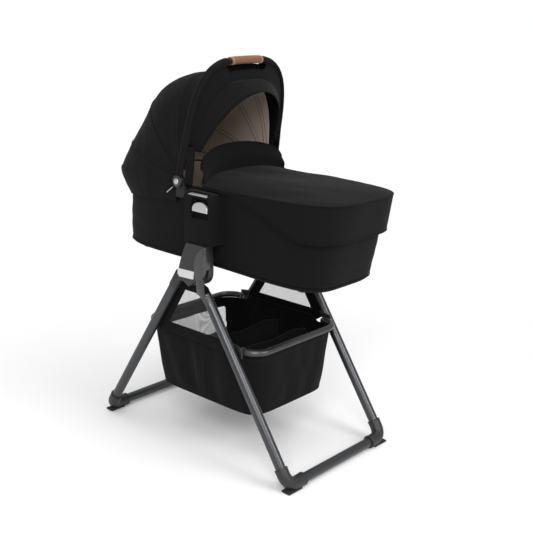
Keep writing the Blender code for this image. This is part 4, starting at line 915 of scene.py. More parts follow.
for name, x, low in (("head", HUB_X - 0.310, 0.0105), ("foot", HUB_X + 0.335, 0.0175)):
    skid = block("base_skid_" + name, (x - 0.011, x + 0.011), (-0.118, 0.118),
                 (TUB_BASE_Z - low, TUB_BASE_Z - 0.0003), PLASTIC, 0.0038, 4)
    place(skid, "bassinet", "dark_plastic", "skid_" + name)


# Inside: a taupe lining sewn round the rim, and a pale mattress with a piped edge and a soft crown.
# Brushed cotton blend: soft, even and pale. Its threads are drawn 0.6 mm wide, coarser than real.
LINING = woven("taupe_lining", "B5A899", thread=0.0006, sheen=0.1, fleck=0.12, depth=0.00008)
# Cotton jersey: the palest of the cloths, with the most sheen and the same coarse threads
COVER = woven("mattress_cover", "C9C2B8", thread=0.0006, sheen=0.3, fleck=0.08, depth=0.00008)
# Painted shade in the sunk grooves of the seams: a dark line on the lining
LINING_GROOVE_SHADE = finish("lining_groove_shade", "3A342E", 0.6, Sheen_Weight=0.3)
lining_in = TUB_WALL + 0.0010
low_z = TUB_BASE_Z + 0.0148
rows = np.array([tub_ring(z, -lining_in) for z in np.linspace(RIM_Z - 0.0045, low_z + 0.010, 26)]
                + [plan_ring(BASE_PLAN, low_z + 0.003, -lining_in - 0.002),
                   plan_ring(BASE_PLAN, low_z, -lining_in - 0.008),
                   plan_ring(BASE_PLAN, low_z, -lining_in - 0.008, 0.5),
                   plan_ring(BASE_PLAN, low_z, -lining_in - 0.008, 0.03)])
soft = smooth_step(0.03, 0.06, RIM_Z - rows[:, :, 2]) * smooth_step(0.01, 0.04, rows[:, :, 2] - low_z)
lining = skin("cot_lining", rumple(rows, 0.0008, 0.05, 2.0, hold=soft), LINING)
thicken(lining, 0.0022)
place(lining, "bassinet", "taupe_lining", "inner_lining")

bed = low_z + 0.0034
pad_in = -lining_in - 0.0065
profile = ((0.000, -0.014), (0.002, -0.007), (0.006, -0.002), (0.012, 0.000), (0.020, 0.000),
           (0.026, -0.003), (0.031, -0.010), (0.0345, -0.022))
rings = [plan_ring(BASE_PLAN, bed + rise, pad_in + step) for rise, step in profile]
rings += [plan_ring(BASE_PLAN, bed + 0.0345 + 0.0060 * (1 - share ** 2), pad_in - 0.022, share)
          for share in (0.93, 0.85, 0.72, 0.58, 0.42, 0.26, 0.10)]
rings = np.array(rings)
mattress = skin("cot_mattress", rumple(rings, 0.0012, 0.06, 7.0), COVER, caps=True, smooth=70)
place(mattress, "bassinet", "mattress_cover", "mattress")
for z, step in ((bed + 0.0045, -0.0030), (bed + 0.0275, -0.0042)):
    edge = sweep("mattress_piping_%d" % round(z * 1e4), plan_ring(BASE_PLAN, z, pad_in + step), 0.0019,
                 COVER, sides=10, cyclic=True)
    place(edge, "bassinet", "mattress_cover")


# Side adapters: cloth-covered blocks that drop over the hubs' tongues, each with a silver release
# button in a recess under a slim trim bar, and a dark plate that holds the canopy's pin.
ADAPTER_X = (HUB_X - 0.016, HUB_X + 0.096)
ADAPTER_Z = (HUB_TOP_Z + 0.0005, 0.798)
ADAPTER_OUT_Y = 0.226
BUTTON_X = HUB_X + 0.052
BUTTON_Z = 0.7455
BUTTON_HALF = 0.0310
BUTTON_RISE = 0.0220
TRIM_X = (HUB_X, HUB_X + 0.078)
TRIM_Z = 0.7890
RECESS_LOW, RECESS_HIGH = 0.724, 0.785
RECESS_DEEP = 0.0130
LEDGE_DEEP = 0.0235
PIVOT_X = HUB_X - 0.060
PIVOT_Z = 0.816
# Plastic under satin silver paint: a broad bright sheen
SILVER = grain(finish("silver_plastic", "B9BABC", 0.33, Metallic=0.55), 0.0005, 0.000006, 0.04)
# Moulded plastic with a dull black face
MATT_BLACK = finish("matt_black_plastic", "0E0E0E", 0.7)


def cut_away(piece, cutter):
    """Take one closed shape out of a piece."""
    change = piece.modifiers.new("cut", "BOOLEAN")
    change.object = cutter
    change.operation = "DIFFERENCE"
    change.solver = "EXACT"
    fast(piece)
    bpy.data.objects.remove(cutter, do_unlink=True)


def pivot_bar(name, side, low, high, *shape):
    """A round bar on the canopy's pivot line, between two distances from the middle."""
    return round_bar(name, (PIVOT_X, side * low, PIVOT_Z), (PIVOT_X, side * high, PIVOT_Z), *shape)


for side_name, side in SIDES:
    adapter = merged("cot_adapter_" + side_name, "adapter_" + side_name, CLOTH)
    low_x, high_x = BUTTON_X - BUTTON_HALF - 0.0015, BUTTON_X + BUTTON_HALF + 0.003
    recess = rounded([(low_x, RECESS_LOW), (high_x, RECESS_LOW),
                      (high_x, RECESS_HIGH), (low_x, RECESS_HIGH)], 0.004)
    cut_away(adapter, plate("opening", recess, side * (ADAPTER_OUT_Y - RECESS_DEEP),
                            side * (ADAPTER_OUT_Y + 0.01), CLOTH))
    cut_away(adapter, block("ledge", (TRIM_X[0] - 0.001, TRIM_X[1] + 0.001),
                            sorted((side * (ADAPTER_OUT_Y - LEDGE_DEEP), side * (ADAPTER_OUT_Y + 0.01))),
                            (TRIM_Z - 0.0002, 0.81), CLOTH))
    place(adapter, "bassinet", "black_cloth", "adapter_" + side_name)
    outline = [(BUTTON_X - BUTTON_HALF, BUTTON_Z), (BUTTON_X + BUTTON_HALF, BUTTON_Z)]
    outline += [(px, BUTTON_Z + 0.0065 + (pz - BUTTON_Z) * BUTTON_RISE / BUTTON_HALF)
                for px, pz in arc(BUTTON_X, BUTTON_Z, BUTTON_HALF, 0, 180, 28)]
    button = plate("release_key_" + side_name, outline, side * (ADAPTER_OUT_Y - 0.0090),
                   side * (ADAPTER_OUT_Y - 0.0005), SILVER, 0.0022, 4)
    place(button, "release_button_" + side_name, "silver_plastic", "release_button_" + side_name)
    bar = block("adapter_trim_" + side_name, TRIM_X,
                sorted((side * (ADAPTER_OUT_Y - 0.0225), side * (ADAPTER_OUT_Y - 0.0060))),
                (TRIM_Z, TRIM_Z + 0.0040), SILVER, 0.0016, 4)
    place(bar, "bassinet", "silver_plastic", "trim_bar_" + side_name)
    hinge = merged("canopy_plate_" + side_name, "canopy_hinge_" + side_name, MATT_BLACK)
    place(hinge, "bassinet", "dark_plastic", "canopy_hinge_" + side_name)
    pin = pivot_bar("canopy_pin_bar_" + side_name, side, 0.1705, 0.2015, 0.0045, STEEL, 0.0005, 32)
    place(pin, "bassinet", "pivot_steel", "canopy_pin_" + side_name)
    # Piped seams down the block's two edges
    for x in (ADAPTER_X[0] + 0.0026, ADAPTER_X[1] - 0.0026):
        line = [(x, side * (ADAPTER_OUT_Y + 0.001 * t - 0.0004),
                 ADAPTER_Z[0] + 0.004 + (ADAPTER_Z[1] - 0.020 - ADAPTER_Z[0]) * t)
                for t in np.linspace(0, 1, 20)]
        edge = sweep("adapter_piping_%s_%d" % (side_name, round(x * 1e4)), line, 0.0014, PIPING, sides=10)
        place(edge, "bassinet", "black_cloth")


# Canopy: black cloth over two bows, fanned from the pivots and sewn to the tub round the head end.
# Welted seams with twin stitching run over the bows.
CANOPY_W = 0.184
HEAD_REACH = 0.360
# Tilt in degrees, reach and squareness of the cloth at points of its fan
RIBS = np.array(((20, 0.288, 3.0), (8, 0.290, 3.0), (-6, 0.296, 2.9), (-18, 0.309, 2.9),
                 (-34, 0.323, 2.9), (-50, 0.313, 3.0), (-64, 0.313, 3.2), (-77, 0.328, 3.6),
                 (-90, HEAD_REACH + 0.003, 4.0)))[::-1]
FABRIC_TILT = 11.5
HOLE = 0.031
SEAM_Z = 0.733
SEAM_RISE = 0.024
SKIRT_OUT = 0.0045
WELT_TILTS = (-10.0, -46.0, -76.0)
SAG = 0.0022


def rib_values(tilt):
    """Reach and squareness of the canopy at a tilt, eased a little where panels meet."""
    near = np.clip(tilt + np.array((-5, -2.5, 0, 2.5, 5)), -90, 20)
    if tilt < -84:
        near = np.array((tilt,))
    return tuple(np.interp(near, RIBS[:, 0], RIBS[:, k]).mean() for k in (1, 2))


def rib_row(tilt, count, inset=0.0, hole=HOLE, half_width=CANOPY_W, values=None):
    """A rib of the canopy, from the near pivot over the top to the far one."""
    reach, power = values or rib_values(tilt)
    start = math.asin((hole / reach) ** (power / 2))
    turn = np.linspace(start, math.pi - start, count)
    c, s = np.cos(turn), np.sin(turn)
    y = -(half_width - inset) * np.sign(c) * np.abs(c) ** (2 / power)
    rise = (reach - inset) * np.abs(s) ** (2 / power)
    t = math.radians(tilt)
    return np.stack([PIVOT_X + rise * math.sin(t), y, PIVOT_Z + rise * math.cos(t)], 1)


def skirt_row(share, count):
    """A row of the cloth below the pivots, easing from the last rib to the seam on the tub."""
    row = []
    for x, y, z in rib_row(-90, count):
        seam = SEAM_Z + SEAM_RISE * max(0.0, 1 - (PIVOT_X - x) / 0.25)
        height = z + (seam - z) * share
        centre, length, width, power = tub_plan(height)
        reach_x = max(0.0, min(1.0, (PIVOT_X - x) / HEAD_REACH))
        angle = math.atan2((abs(y) / CANOPY_W) ** (power / 2), reach_x ** (power / 2))
        px, py = squircle(math.pi - angle, length + SKIRT_OUT, width + SKIRT_OUT, power)
        px, py = min(centre + px, PIVOT_X - HOLE), math.copysign(py, y)
        bulge = 0.022 * math.sin(math.pi * share ** 0.65) * reach_x
        row.append((x + (px - x) * share - bulge, y + (py - y) * share, height))
    return np.array(row)


def follow_canopy(piece, slot_name, *nodes):
    """Hide the CAD nodes that a piece of canopy cloth stands for, and bake its placing into its mesh."""
    if nodes:
        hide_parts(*nodes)
    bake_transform(piece)
    return piece


def cloth_run(tilt):
    """The way the canopy's cloth runs across a rib."""
    t = math.radians(tilt)
    return np.array((math.cos(t), 0.0, -math.sin(t)))


def outwards(line, along):
    """Unit directions square to a line of points and to the cloth's run, away from the pivots."""
    out = np.cross(np.gradient(line, axis=0), along)
    if (out * (line - (PIVOT_X, 0, PIVOT_Z))).sum() < 0:
        out = -out
    return out / np.linalg.norm(out, axis=1, keepdims=True)


count = 90 * FINE + 1
tilts = np.linspace(FABRIC_TILT, -90, 48 * FINE)
rows = [rib_row(t, count) for t in tilts]
rows += [skirt_row(share, count) for share in np.linspace(0, 1, 9 * FINE)[1:]]
rows = np.array(rows)
seams = np.array((FABRIC_TILT,) + WELT_TILTS + (-90.0,))
part = np.interp(tilts, seams[::-1], np.arange(len(seams))[::-1])
sag = np.concatenate([np.sin(np.pi * (part % 1.0)) ** 2, np.zeros(len(rows) - len(tilts))])
over_top = np.sin(np.linspace(0, np.pi, count)) ** 1.5
rows = rows - facing(rows, False) * (sag[:, None] * over_top[None, :])[:, :, None] * SAG
down = np.arange(len(rows)) / len(rows)
calm = np.minimum(smooth_step(0.0, 0.08, down), 1 - smooth_step(0.93, 1.0, down))[:, None]
rows = rumple(rows, 0.0030, 0.085, 1.0, (1.0, 1.0, 1.0), False, calm)
rows = rumple(rows, 0.0010, 0.030, 4.0, (1.0, 1.0, 1.0), False, calm)
canopy = skin("canopy_cloth", rows, CLOTH, round_rows=False)
thicken(canopy, 0.0026)
follow_canopy(canopy, "black_cloth", "canopy_fabric")
for number, tilt in enumerate(WELT_TILTS, start=1):
    line = rib_row(tilt, 140, -0.0004)
    along = cloth_run(tilt)
    welt = sweep("canopy_welt_%d" % number, line, 0.0024, PIPING, 0.0014, across=along, sides=12)
    follow_canopy(welt, "black_cloth")
    out = outwards(line, along)
    for edge, shift in (("back", -0.0052), ("front", 0.0052)):
        sewn = stitches("canopy_stitches_%d_%s" % (number, edge), line + along * shift + out * 0.0008, out,
                        THREAD)
        follow_canopy(sewn, "black_cloth")
base_line = skirt_row(1.0, 160)
hem = sweep("canopy_hem", base_line + (0, 0, 0.0030), 0.0036, PIPING, 0.0016, across=(0, 0, 1), sides=12,
            square=3.0)
follow_canopy(hem, "black_cloth")

# Zip pull by the near pivot
pull_top = np.array((-0.127, -(CANOPY_W + 0.0062), 0.792))
pull_line = [pull_top + (-0.026 * t, -0.0012 * math.sin(t * 3), -0.0190 * t) for t in np.linspace(0, 1, 9)]
pull = sweep("zip_pull", pull_line, 0.0014, SILVER, 0.0008, across=(1, 0, 0), sides=12, square=3.0)
place(pull, "bassinet", "silver_plastic")


# Canopy lining: taupe cloth inside the bows, with flat seams sewn twice over each bow, and a dark line of
# painted shade in the groove on each side of a seam.
rows = np.array([rib_row(t, 81, 0.0108, 0.034) for t in np.linspace(6, -88, 40 * FINE)])
calm = np.sin(np.linspace(0, np.pi, 81))[None, :] ** 0.5
rows = rumple(rows, 0.0022, 0.060, 8.0, (1, 1, 1), False, calm)
plan_centre = np.array((RIM_PLAN[0], 0.0))
from_centre = rows[-1][:, :2] - plan_centre
hang = [np.column_stack([plan_centre + from_centre * share, np.full(len(from_centre), z)])
        for z, share in ((0.8095, 1.0), (0.8070, 0.990), (0.8045, 0.978), (0.8000, 0.975))]
inside = skin("canopy_inside", np.concatenate([rows, hang]), LINING, round_rows=False)
thicken(inside, 0.0014)
follow_canopy(inside, "taupe_lining", "canopy_lining")
for number, tilt in enumerate((-5.0, -28.0, -64.0, -86.0), start=1):
    line = rib_row(tilt, 120, 0.0128, 0.036)
    along = cloth_run(tilt)
    tape = sweep("lining_seam_%d" % number, line, 0.0050, LINING, 0.0010, across=along, sides=14, square=2.6)
    follow_canopy(tape, "taupe_lining")
    # Dark brown strips of painted shade in the grooves on each side of the seam
    for place_name, shift in (("back", -0.0058), ("front", 0.0058)):
        groove = sweep("lining_groove_%d_%s" % (number, place_name), line + along * shift, 0.0011,
                       LINING_GROOVE_SHADE, 0.0007, across=along, sides=8)
        follow_canopy(groove, "taupe_lining")
for number, tilt, inset in ((1, -36.0, 0.0053), (2, -64.0, 0.0085)):
    line = rib_row(tilt, 121, inset, 0.0085)
    strip = sweep("bow_strip_%d" % number, line, 0.0035, PLASTIC, 0.0011, across=cloth_run(tilt), sides=12,
                  square=5.0)
    eyes = []
    for side_name, side in SIDES:
        y = side * (CANOPY_W - inset)
        eye = round_bar("bow_eye_%d_%s" % (number, side_name), (PIVOT_X, y - 0.0012, PIVOT_Z),
                        (PIVOT_X, y + 0.0012, PIVOT_Z), 0.0098, PLASTIC, 0.0004)
        cut_away(eye, round_bar("eye_hole", (PIVOT_X, y - 0.01, PIVOT_Z), (PIVOT_X, y + 0.01, PIVOT_Z),
                                0.0050, PLASTIC))
        eyes.append(eye)
    place(join("bow_strip_%d" % number, [strip] + eyes), "canopy_bow_%d" % number, "dark_plastic",
          "canopy_bow_%d" % number)


# Carrying arch: a flat band wrapped in black cloth with a seam along each edge, on round bosses
# with silver push buttons, and a tan leather grip with stitched ends over its top.
ARCH_TILT = math.radians(12.0)
ARCH_W = 0.2005
ARCH_H = 0.344
ARCH_POWER = 3.65
ARCH_IN = 0.0075
ARCH_SQUARE = np.array((math.cos(ARCH_TILT), 0.0, -math.sin(ARCH_TILT)))
GRIP_HALF = 0.0625
GRIP_WIDE, GRIP_THICK = 0.0136, 0.0108
GRIP_SQUARE = 2.3
# Embossed imitation leather: tan and half matt, with a grain of 1.6 mm
LEATHER = grain(finish("tan_leather", "6B4227", 0.50, Sheen_Weight=0.05), 0.0016, 0.00018, 0.08)
# Thick pale tan thread: it stands out on the leather
GRIP_THREAD = finish("tan_thread", "D9AE85", 0.6)


def arch_point(turn, grow=0.0):
    """Points of the arch's middle line, drawn in a little above the bosses."""
    c, s = np.cos(turn), np.sin(turn)
    rise = (ARCH_H + grow) * np.abs(s) ** (2 / ARCH_POWER)
    half = ARCH_W + grow - ARCH_IN * smooth_step(0.02, 0.14, rise)
    y = -half * np.sign(c) * np.abs(c) ** (2 / ARCH_POWER)
    return np.stack([PIVOT_X + rise * math.sin(ARCH_TILT), y, PIVOT_Z + rise * math.cos(ARCH_TILT)], -1)


def evened(line, count):
    """The same line with evenly spaced points."""
    way = travelled(line)
    at = np.linspace(0, way[-1], count)
    return np.stack([np.interp(at, way, line[:, k]) for k in range(3)], 1)


first = math.asin((0.010 / ARCH_H) ** (ARCH_POWER / 2))
arch_line = evened(arch_point(np.linspace(first, math.pi - first, 1600)), 150 * FINE)
on_grip = 1 - smooth_step(GRIP_HALF + 0.001, GRIP_HALF + 0.012, np.abs(arch_line[:, 1]))
near_grip = (1 - smooth_step(0.080, 0.150, np.abs(arch_line[:, 1]))) * (1 - on_grip)
band = sweep("arch_band", arch_line, 0.0132 - 0.0042 * on_grip, CLOTH,
             0.0062 - 0.0008 * on_grip + 0.0040 * near_grip, across=ARCH_SQUARE, sides=28, square=2.6)
place(band, "canopy_arch", "black_cloth", "carry_arch")
for name, limit in SIDES:
    half = arch_line[(arch_line[:, 1] * limit > GRIP_HALF + 0.014) & (arch_line[:, 2] > PIVOT_Z + 0.02)]
    radial = outwards(half, ARCH_SQUARE)
    for edge, shift in (("front", 0.0085), ("back", -0.0085)):
        sewn = stitches("arch_stitches_%s_%s" % (name, edge), half + ARCH_SQUARE * shift + radial * 0.0054,
                        radial, THREAD)
        place(sewn, "canopy_arch", "black_cloth")
    boss = pivot_bar("arch_boss_" + name, limit, 0.1963, 0.2090, 0.0175, PLASTIC, 0.0022)
    place(boss, "canopy_arch", "dark_plastic")
    bezel = pivot_bar("knob_bezel_" + name, limit, 0.2085, 0.2098, 0.0142, GLOSS, 0.0005)
    place(bezel, "canopy_arch", "dark_gloss_plastic")
    knob = pivot_bar("knob_" + name, limit, 0.2065, 0.2125, 0.0085, SILVER, 0.0022)
    place(knob, "canopy_button_" + name, "silver_plastic", "canopy_button_" + name)

grip_line = evened(arch_line[np.abs(arch_line[:, 1]) < GRIP_HALF + 0.003], 60 * FINE)
grip_line = grip_line[np.abs(grip_line[:, 1]) < GRIP_HALF]
share = np.abs(grip_line[:, 1]) / GRIP_HALF
roll = 1 - 0.16 * smooth_step(0.965, 1.0, share)
grip = sweep("leather_grip", grip_line, GRIP_WIDE * roll, LEATHER, GRIP_THICK * roll, across=ARCH_SQUARE,
             sides=40, square=GRIP_SQUARE)
place(grip, "canopy_arch", "tan_leather", "grip")
radial = np.cross(np.gradient(grip_line, axis=0), ARCH_SQUARE)
radial /= np.linalg.norm(radial, axis=1, keepdims=True)
wide, thick = squircle(np.linspace(0, 2 * np.pi, 90), GRIP_WIDE * 1.012, GRIP_THICK * 1.012, GRIP_SQUARE)
for name, limit in SIDES:
    for at in (0.90, 0.965):
        k = int(np.argmin(np.abs(grip_line[:, 1] - limit * GRIP_HALF * at)))
        ring = ARCH_SQUARE * wide[:, None] + radial[k] * thick[:, None]
        sewn = stitches("grip_stitches_%s_%d" % (name, round(at * 1000)), grip_line[k] + ring, ring,
                        GRIP_THREAD, 0.0036, 0.0024, 0.0005)
        place(sewn, "canopy_arch", "tan_leather")
below = -outwards(grip_line, ARCH_SQUARE)[3:-3]
for name, shift in (("front", 0.0020), ("back", -0.0020)):
    under = grip_line[3:-3] + below * (GRIP_THICK + 0.0001) + ARCH_SQUARE * shift
    sewn = stitches("grip_seam_" + name, under, below, GRIP_THREAD, 0.0040, 0.0026, 0.0005)
    place(sewn, "canopy_arch", "tan_leather")


# Visor: a stiffened black peak sewn under the arch, with a bound front edge.
own = rib_values(FABRIC_TILT)
# Tilt in degrees, reach, squareness and half width of the peak
VISOR = np.array(((FABRIC_TILT + 0.15, *own, CANOPY_W), (FABRIC_TILT + 2.65, *own, CANOPY_W),
                  (19.0, 0.299, 2.7, 0.1805), (24.0, 0.294, 2.3, 0.1750), (28.5, 0.287, 2.05, 0.1700)))


def visor_values(tilt):
    """Reach, squareness and half width of the visor at a tilt."""
    return tuple(np.interp(tilt, VISOR[:, 0], VISOR[:, k]) for k in (1, 2, 3))


rows = []
for tilt in np.linspace(VISOR[0, 0], VISOR[-1, 0], 14 * FINE):
    reach, power, width = visor_values(tilt)
    rows.append(rib_row(tilt, 121, 0.0, 0.097, width, (reach, power)))
rows = np.array(rows)[::-1]
calm = smooth_step(0, 0.3, np.linspace(1, 0, len(rows)))[:, None]
rows = rumple(rows, 0.0015, 0.070, 6.0, (1, 1, 1), False, calm)
visor = skin("canopy_visor", rows, CLOTH, round_rows=False)
thicken(visor, 0.0026)
place(visor, "canopy_arch", "black_cloth", "visor")
edge = sweep("visor_binding", rows[0], 0.0042, BINDING, 0.0021, across=rows[2] - rows[0], sides=14,
             square=2.6)
place(edge, "canopy_arch", "black_cloth")
out = facing(rows, False)
sewn = stitches("visor_stitches", rows[3] + out[3] * 0.0004, out[3], THREAD)
place(sewn, "canopy_arch", "black_cloth")

# Gussets: black cloth that fills the space between the canopy's top and the arch, before and behind
# it, with a hand slot left open under the grip and its lips rolled.
GUSSET_LOW = 0.094
GUSSETS = (("front", 17.0, *visor_values(17.0), 0.0064, 0.52),
           ("back", 6.0, *rib_values(6.0), CANOPY_W, -0.0064, 0.74))
for name, tilt, reach, power, width, shift, lip_share in GUSSETS:
    base = rib_row(tilt, 241, 0.0012, GUSSET_LOW, width, (reach, power))
    begin = math.asin((GUSSET_LOW / reach) ** (power / 2))
    upper = arch_point(np.linspace(begin, math.pi - begin, 241), -0.0044) + ARCH_SQUARE * shift
    open_share = lip_share + (1 - lip_share) * smooth_step(0.056, 0.072, np.abs(base[:, 1]))
    rows = np.array([base + (upper - base) * (t * open_share)[:, None] for t in np.linspace(0, 1, 8 * FINE)])
    rise = np.sin(np.pi * np.linspace(0, 1, len(rows)))[:, None]
    rows = rumple(rows, 0.0012, 0.060, 15.0, (1, 1, 1), False, rise)
    gusset = skin("canopy_gusset_" + name, rows, CLOTH, round_rows=False)
    thicken(gusset, 0.0020)
    place(gusset, "canopy_arch", "black_cloth")
    lip_line = rows[-1][np.abs(rows[-1][:, 1]) < 0.070]
    lip = sweep("gusset_lip_" + name, lip_line, 0.0022, BINDING, sides=12)
    place(lip, "canopy_arch", "black_cloth")


# Side pieces: the cloth that closes the canopy's front corners, from the arch down to the rim.
CORNER_FRONT_X = -0.052
for name, limit in SIDES:
    rows = []
    for t in np.linspace(0, 1, 12 * FINE):
        z = 0.8075 + 0.1080 * t
        back_x = PIVOT_X + 0.0205 + 0.014 * t
        front_x = CORNER_FRONT_X + 0.006 * t
        rows.append([(back_x + (front_x - back_x) * s,
                      limit * (0.1970 - 0.0130 * s ** 0.8 - 0.008 * s * t), z)
                     for s in np.linspace(0, 1, 9 * FINE)])
    rows = np.array(rows)
    front = rows[:, -1]
    corner = skin("canopy_corner_" + name, rows[:, ::-1] if limit > 0 else rows, CLOTH, round_rows=False)
    thicken(corner, 0.0024)
    place(corner, "canopy_arch", "black_cloth")
    edge = sweep("canopy_corner_binding_" + name, front, 0.0024, BINDING, 0.0018, sides=12)
    place(edge, "canopy_arch", "black_cloth")


# Top cover: a soft crowned apron over the foot end with a piped edge and a skirt that hangs deep
# round the foot. It lifts straight off the rim.
COVER_OUT, COVER_SIDE_OUT = 0.0150, 0.0055
CROWN = 0.021
COVER_THICK, SKIRT_THICK = 0.0045, 0.0030
EDGE_ROLL = 0.0048
COVER_HALF = 0.19


def seam_x(y):
    """Head edge of the cover: drawn back in the middle, forward at the sides."""
    return HUB_X + 0.026 - 0.048 * (1 - (np.asarray(y) / COVER_HALF) ** 2)


def crown_z(share):
    """Height of the crowned top: share runs from 0 in the middle to 1 at the edge."""
    return RIM_Z + COVER_SIDE_OUT + CROWN * (1 - share ** 3.4)


def cover_ring(share, under=0.0, into=0.0):
    """A ring of the crowned top: share runs from 0 in the middle to 1 at the edge."""
    centre, length, width, power = RIM_PLAN
    x, y = squircle(TUB_TURNS, (length + COVER_OUT * share) * share - into,
                    (width + COVER_SIDE_OUT * share) * share - into, 2 + (power - 2) * share)
    return np.stack([centre + x, y, np.full(len(x), crown_z(share) - under)], 1)


def skirt_drop(x):
    """How far the skirt hangs: deep round the foot end, shallow along the sides."""
    return (0.004 + 0.016 * smooth_step(0.0, 0.040, x - ADAPTER_X[1] - 0.034)
            + 0.082 * smooth_step(0.0, 0.26, x - HUB_X - 0.16))


def skirt_ring(share, into=0.0):
    """A ring of the skirt: it follows the wall in at the foot, and hangs straight at the sides."""
    ring = cover_ring(1.0, EDGE_ROLL)
    z = ring[:, 2] - skirt_drop(ring[:, 0]) * share
    made = []
    for turn, height in zip(TUB_TURNS, z):
        centre, length, _, power = tub_plan(height)
        x, y = squircle(turn, length + COVER_OUT - into, RIM_PLAN[2] + COVER_SIDE_OUT - into, power)
        made.append((centre + x, y, height))
    return np.array(made)


def rolled(k):
    """The turn from the top into the skirt, as a quarter round."""
    a = math.radians(k)
    return cover_ring(1.0, EDGE_ROLL * (1 - math.cos(a)), EDGE_ROLL * 0.6 * (1 - math.sin(a)))


shares = np.concatenate([np.linspace(0.04, 0.90, 22 * FINE), np.linspace(0.92, 0.985, 4)])
top = np.array([cover_ring(s) for s in shares])
soft = (1 - smooth_step(0.90, 1.0, shares))[:, None]
top = rumple(top, 0.0052, 0.17, 3.0, (0.8, 1.0, 1), hold=soft)
top = rumple(top, 0.0014, 0.050, 6.0, (0.7, 1.3, 1), hold=soft)
side = np.array([rolled(a) for a in (35, 65, 90)] + [skirt_ring(s) for s in np.linspace(0, 1, 12 * FINE)])
side = rumple(side, 0.0016, 0.070, 2.0, (1, 1, 0.4),
              hold=smooth_step(0.395, 0.44, np.abs(side[:, :, 0])))
under = np.array([skirt_ring(s, SKIRT_THICK) for s in (1.0, 0.5, 0.0)] + [cover_ring(0.957)])
under[-1][:, 2] = RIM_Z + 0.0008
below = np.array([cover_ring(s, COVER_THICK) for s in (0.93, 0.8, 0.55, 0.25, 0.04)])
below[:, :, 2] -= 0.0004
cover = skin("apron", list(top) + list(side) + list(under) + list(below), CLOTH, caps=True, smooth=50)
edge_y = np.linspace(-0.22, 0.22, 61)
outline = [(float(seam_x(y)), float(y)) for y in edge_y] + [(HUB_X - 0.55, 0.22), (HUB_X - 0.55, -0.22)]
cut_mesh = bpy.data.meshes.new("apron_cut")
n = len(outline)
cut_mesh.from_pydata([(x, y, 0.6) for x, y in outline] + [(x, y, 1.0) for x, y in outline], [],
                     [list(range(n))[::-1], list(range(n, 2 * n))]
                     + [(i, (i + 1) % n, n + (i + 1) % n, n + i) for i in range(n)])
cut_away(cover, link_new("apron_cut", cut_mesh))
place(cover, "top_cover", "black_cloth", "top_cover")


def beyond_seam(ring):
    """The part of a closed ring on the cover's side of its head edge, as an open line."""
    keep = ring[:, 0] > seam_x(ring[:, 1])
    start = int(np.argmax(~keep & np.roll(keep, -1))) + 1
    ring, keep = np.roll(ring, -start, 0), np.roll(keep, -start)
    return ring[keep]


line = beyond_seam(cover_ring(1.0, 0.0012, 0.0004))
piping = sweep("apron_piping", line, 0.0021, PIPING, sides=12)
place(piping, "top_cover", "black_cloth")
line = beyond_seam(cover_ring(0.985, -0.0006))
place(stitches("apron_stitches", line, (0, 0, 1), THREAD), "top_cover", "black_cloth")
line = beyond_seam(skirt_ring(1.0, -0.0002))
hem = sweep("apron_hem", line + (0, 0, 0.0024), 0.0030, PIPING, 0.0018, across=(0, 0, 1), sides=12,
            square=3.0)
place(hem, "top_cover", "black_cloth")


# Wind flap: a padded half moon that stands on the cover's head edge, with a bound top.
FLAP_HALF = 0.170
FLAP_HEIGHT = 0.077
rows = []
across_y = FLAP_HALF * np.sin(np.linspace(-np.pi / 2, np.pi / 2, 81))
height = (FLAP_HEIGHT * (1 - 0.27 * (across_y / FLAP_HALF) ** 2)
          * (1 - np.abs(across_y / (FLAP_HALF + 0.004)) ** 14) ** 0.35)
foot_z = crown_z(np.abs(across_y) / COVER_HALF) - 0.004
for t in np.linspace(0, 1, 16 * FINE):
    belly = 0.0035 * (1 - math.cos(2 * math.pi * t))
    x = seam_x(across_y) - 0.0012 + belly - 0.010 * t
    rows.append(np.stack([x, across_y, foot_z + (height + 0.004) * t], 1))
rows = np.array(rows)
calm = ((1 - smooth_step(0.8, 1.0, np.linspace(0, 1, len(rows))))[:, None]
        * (1 - smooth_step(0.80, 0.97, np.abs(across_y) / FLAP_HALF))[None, :])
rows = rumple(rows, 0.0020, 0.060, 12.0, (1, 1, 1), False, calm)
flap = skin("flap", rows, CLOTH, round_rows=False)
thicken(flap, 0.0080, -1.0)
place(flap, "top_cover", "black_cloth", "wind_flap")
out = facing(rows, False)
edge = sweep("flap_binding", rows[-1] - out[-1] * 0.0040, 0.0050, BINDING, 0.0030, across=out[-1], sides=14,
             square=2.4)
place(edge, "top_cover", "black_cloth")
seam_y = edge_y * 0.78
line = np.stack([seam_x(seam_y), seam_y, crown_z(np.abs(seam_y) / COVER_HALF) + 0.0002], 1)
seam = sweep("flap_seam", line, 0.0020, PIPING, sides=12)
place(seam, "top_cover", "black_cloth")


# Stage: a plain pale floor that turns white away from the object, soft lamps from behind the camera,
# the foot end and above, and the camera at the photograph's angle.
CAMERA_TARGET = (0.0719, 0.0, 0.5527)
CAMERA_AZIMUTH = math.radians(42.57)
CAMERA_ELEVATION = math.radians(16.23)
CAMERA_ROLL = math.radians(0.616)
CAMERA_DISTANCE = 2.774
CAMERA_LENS = 62.73

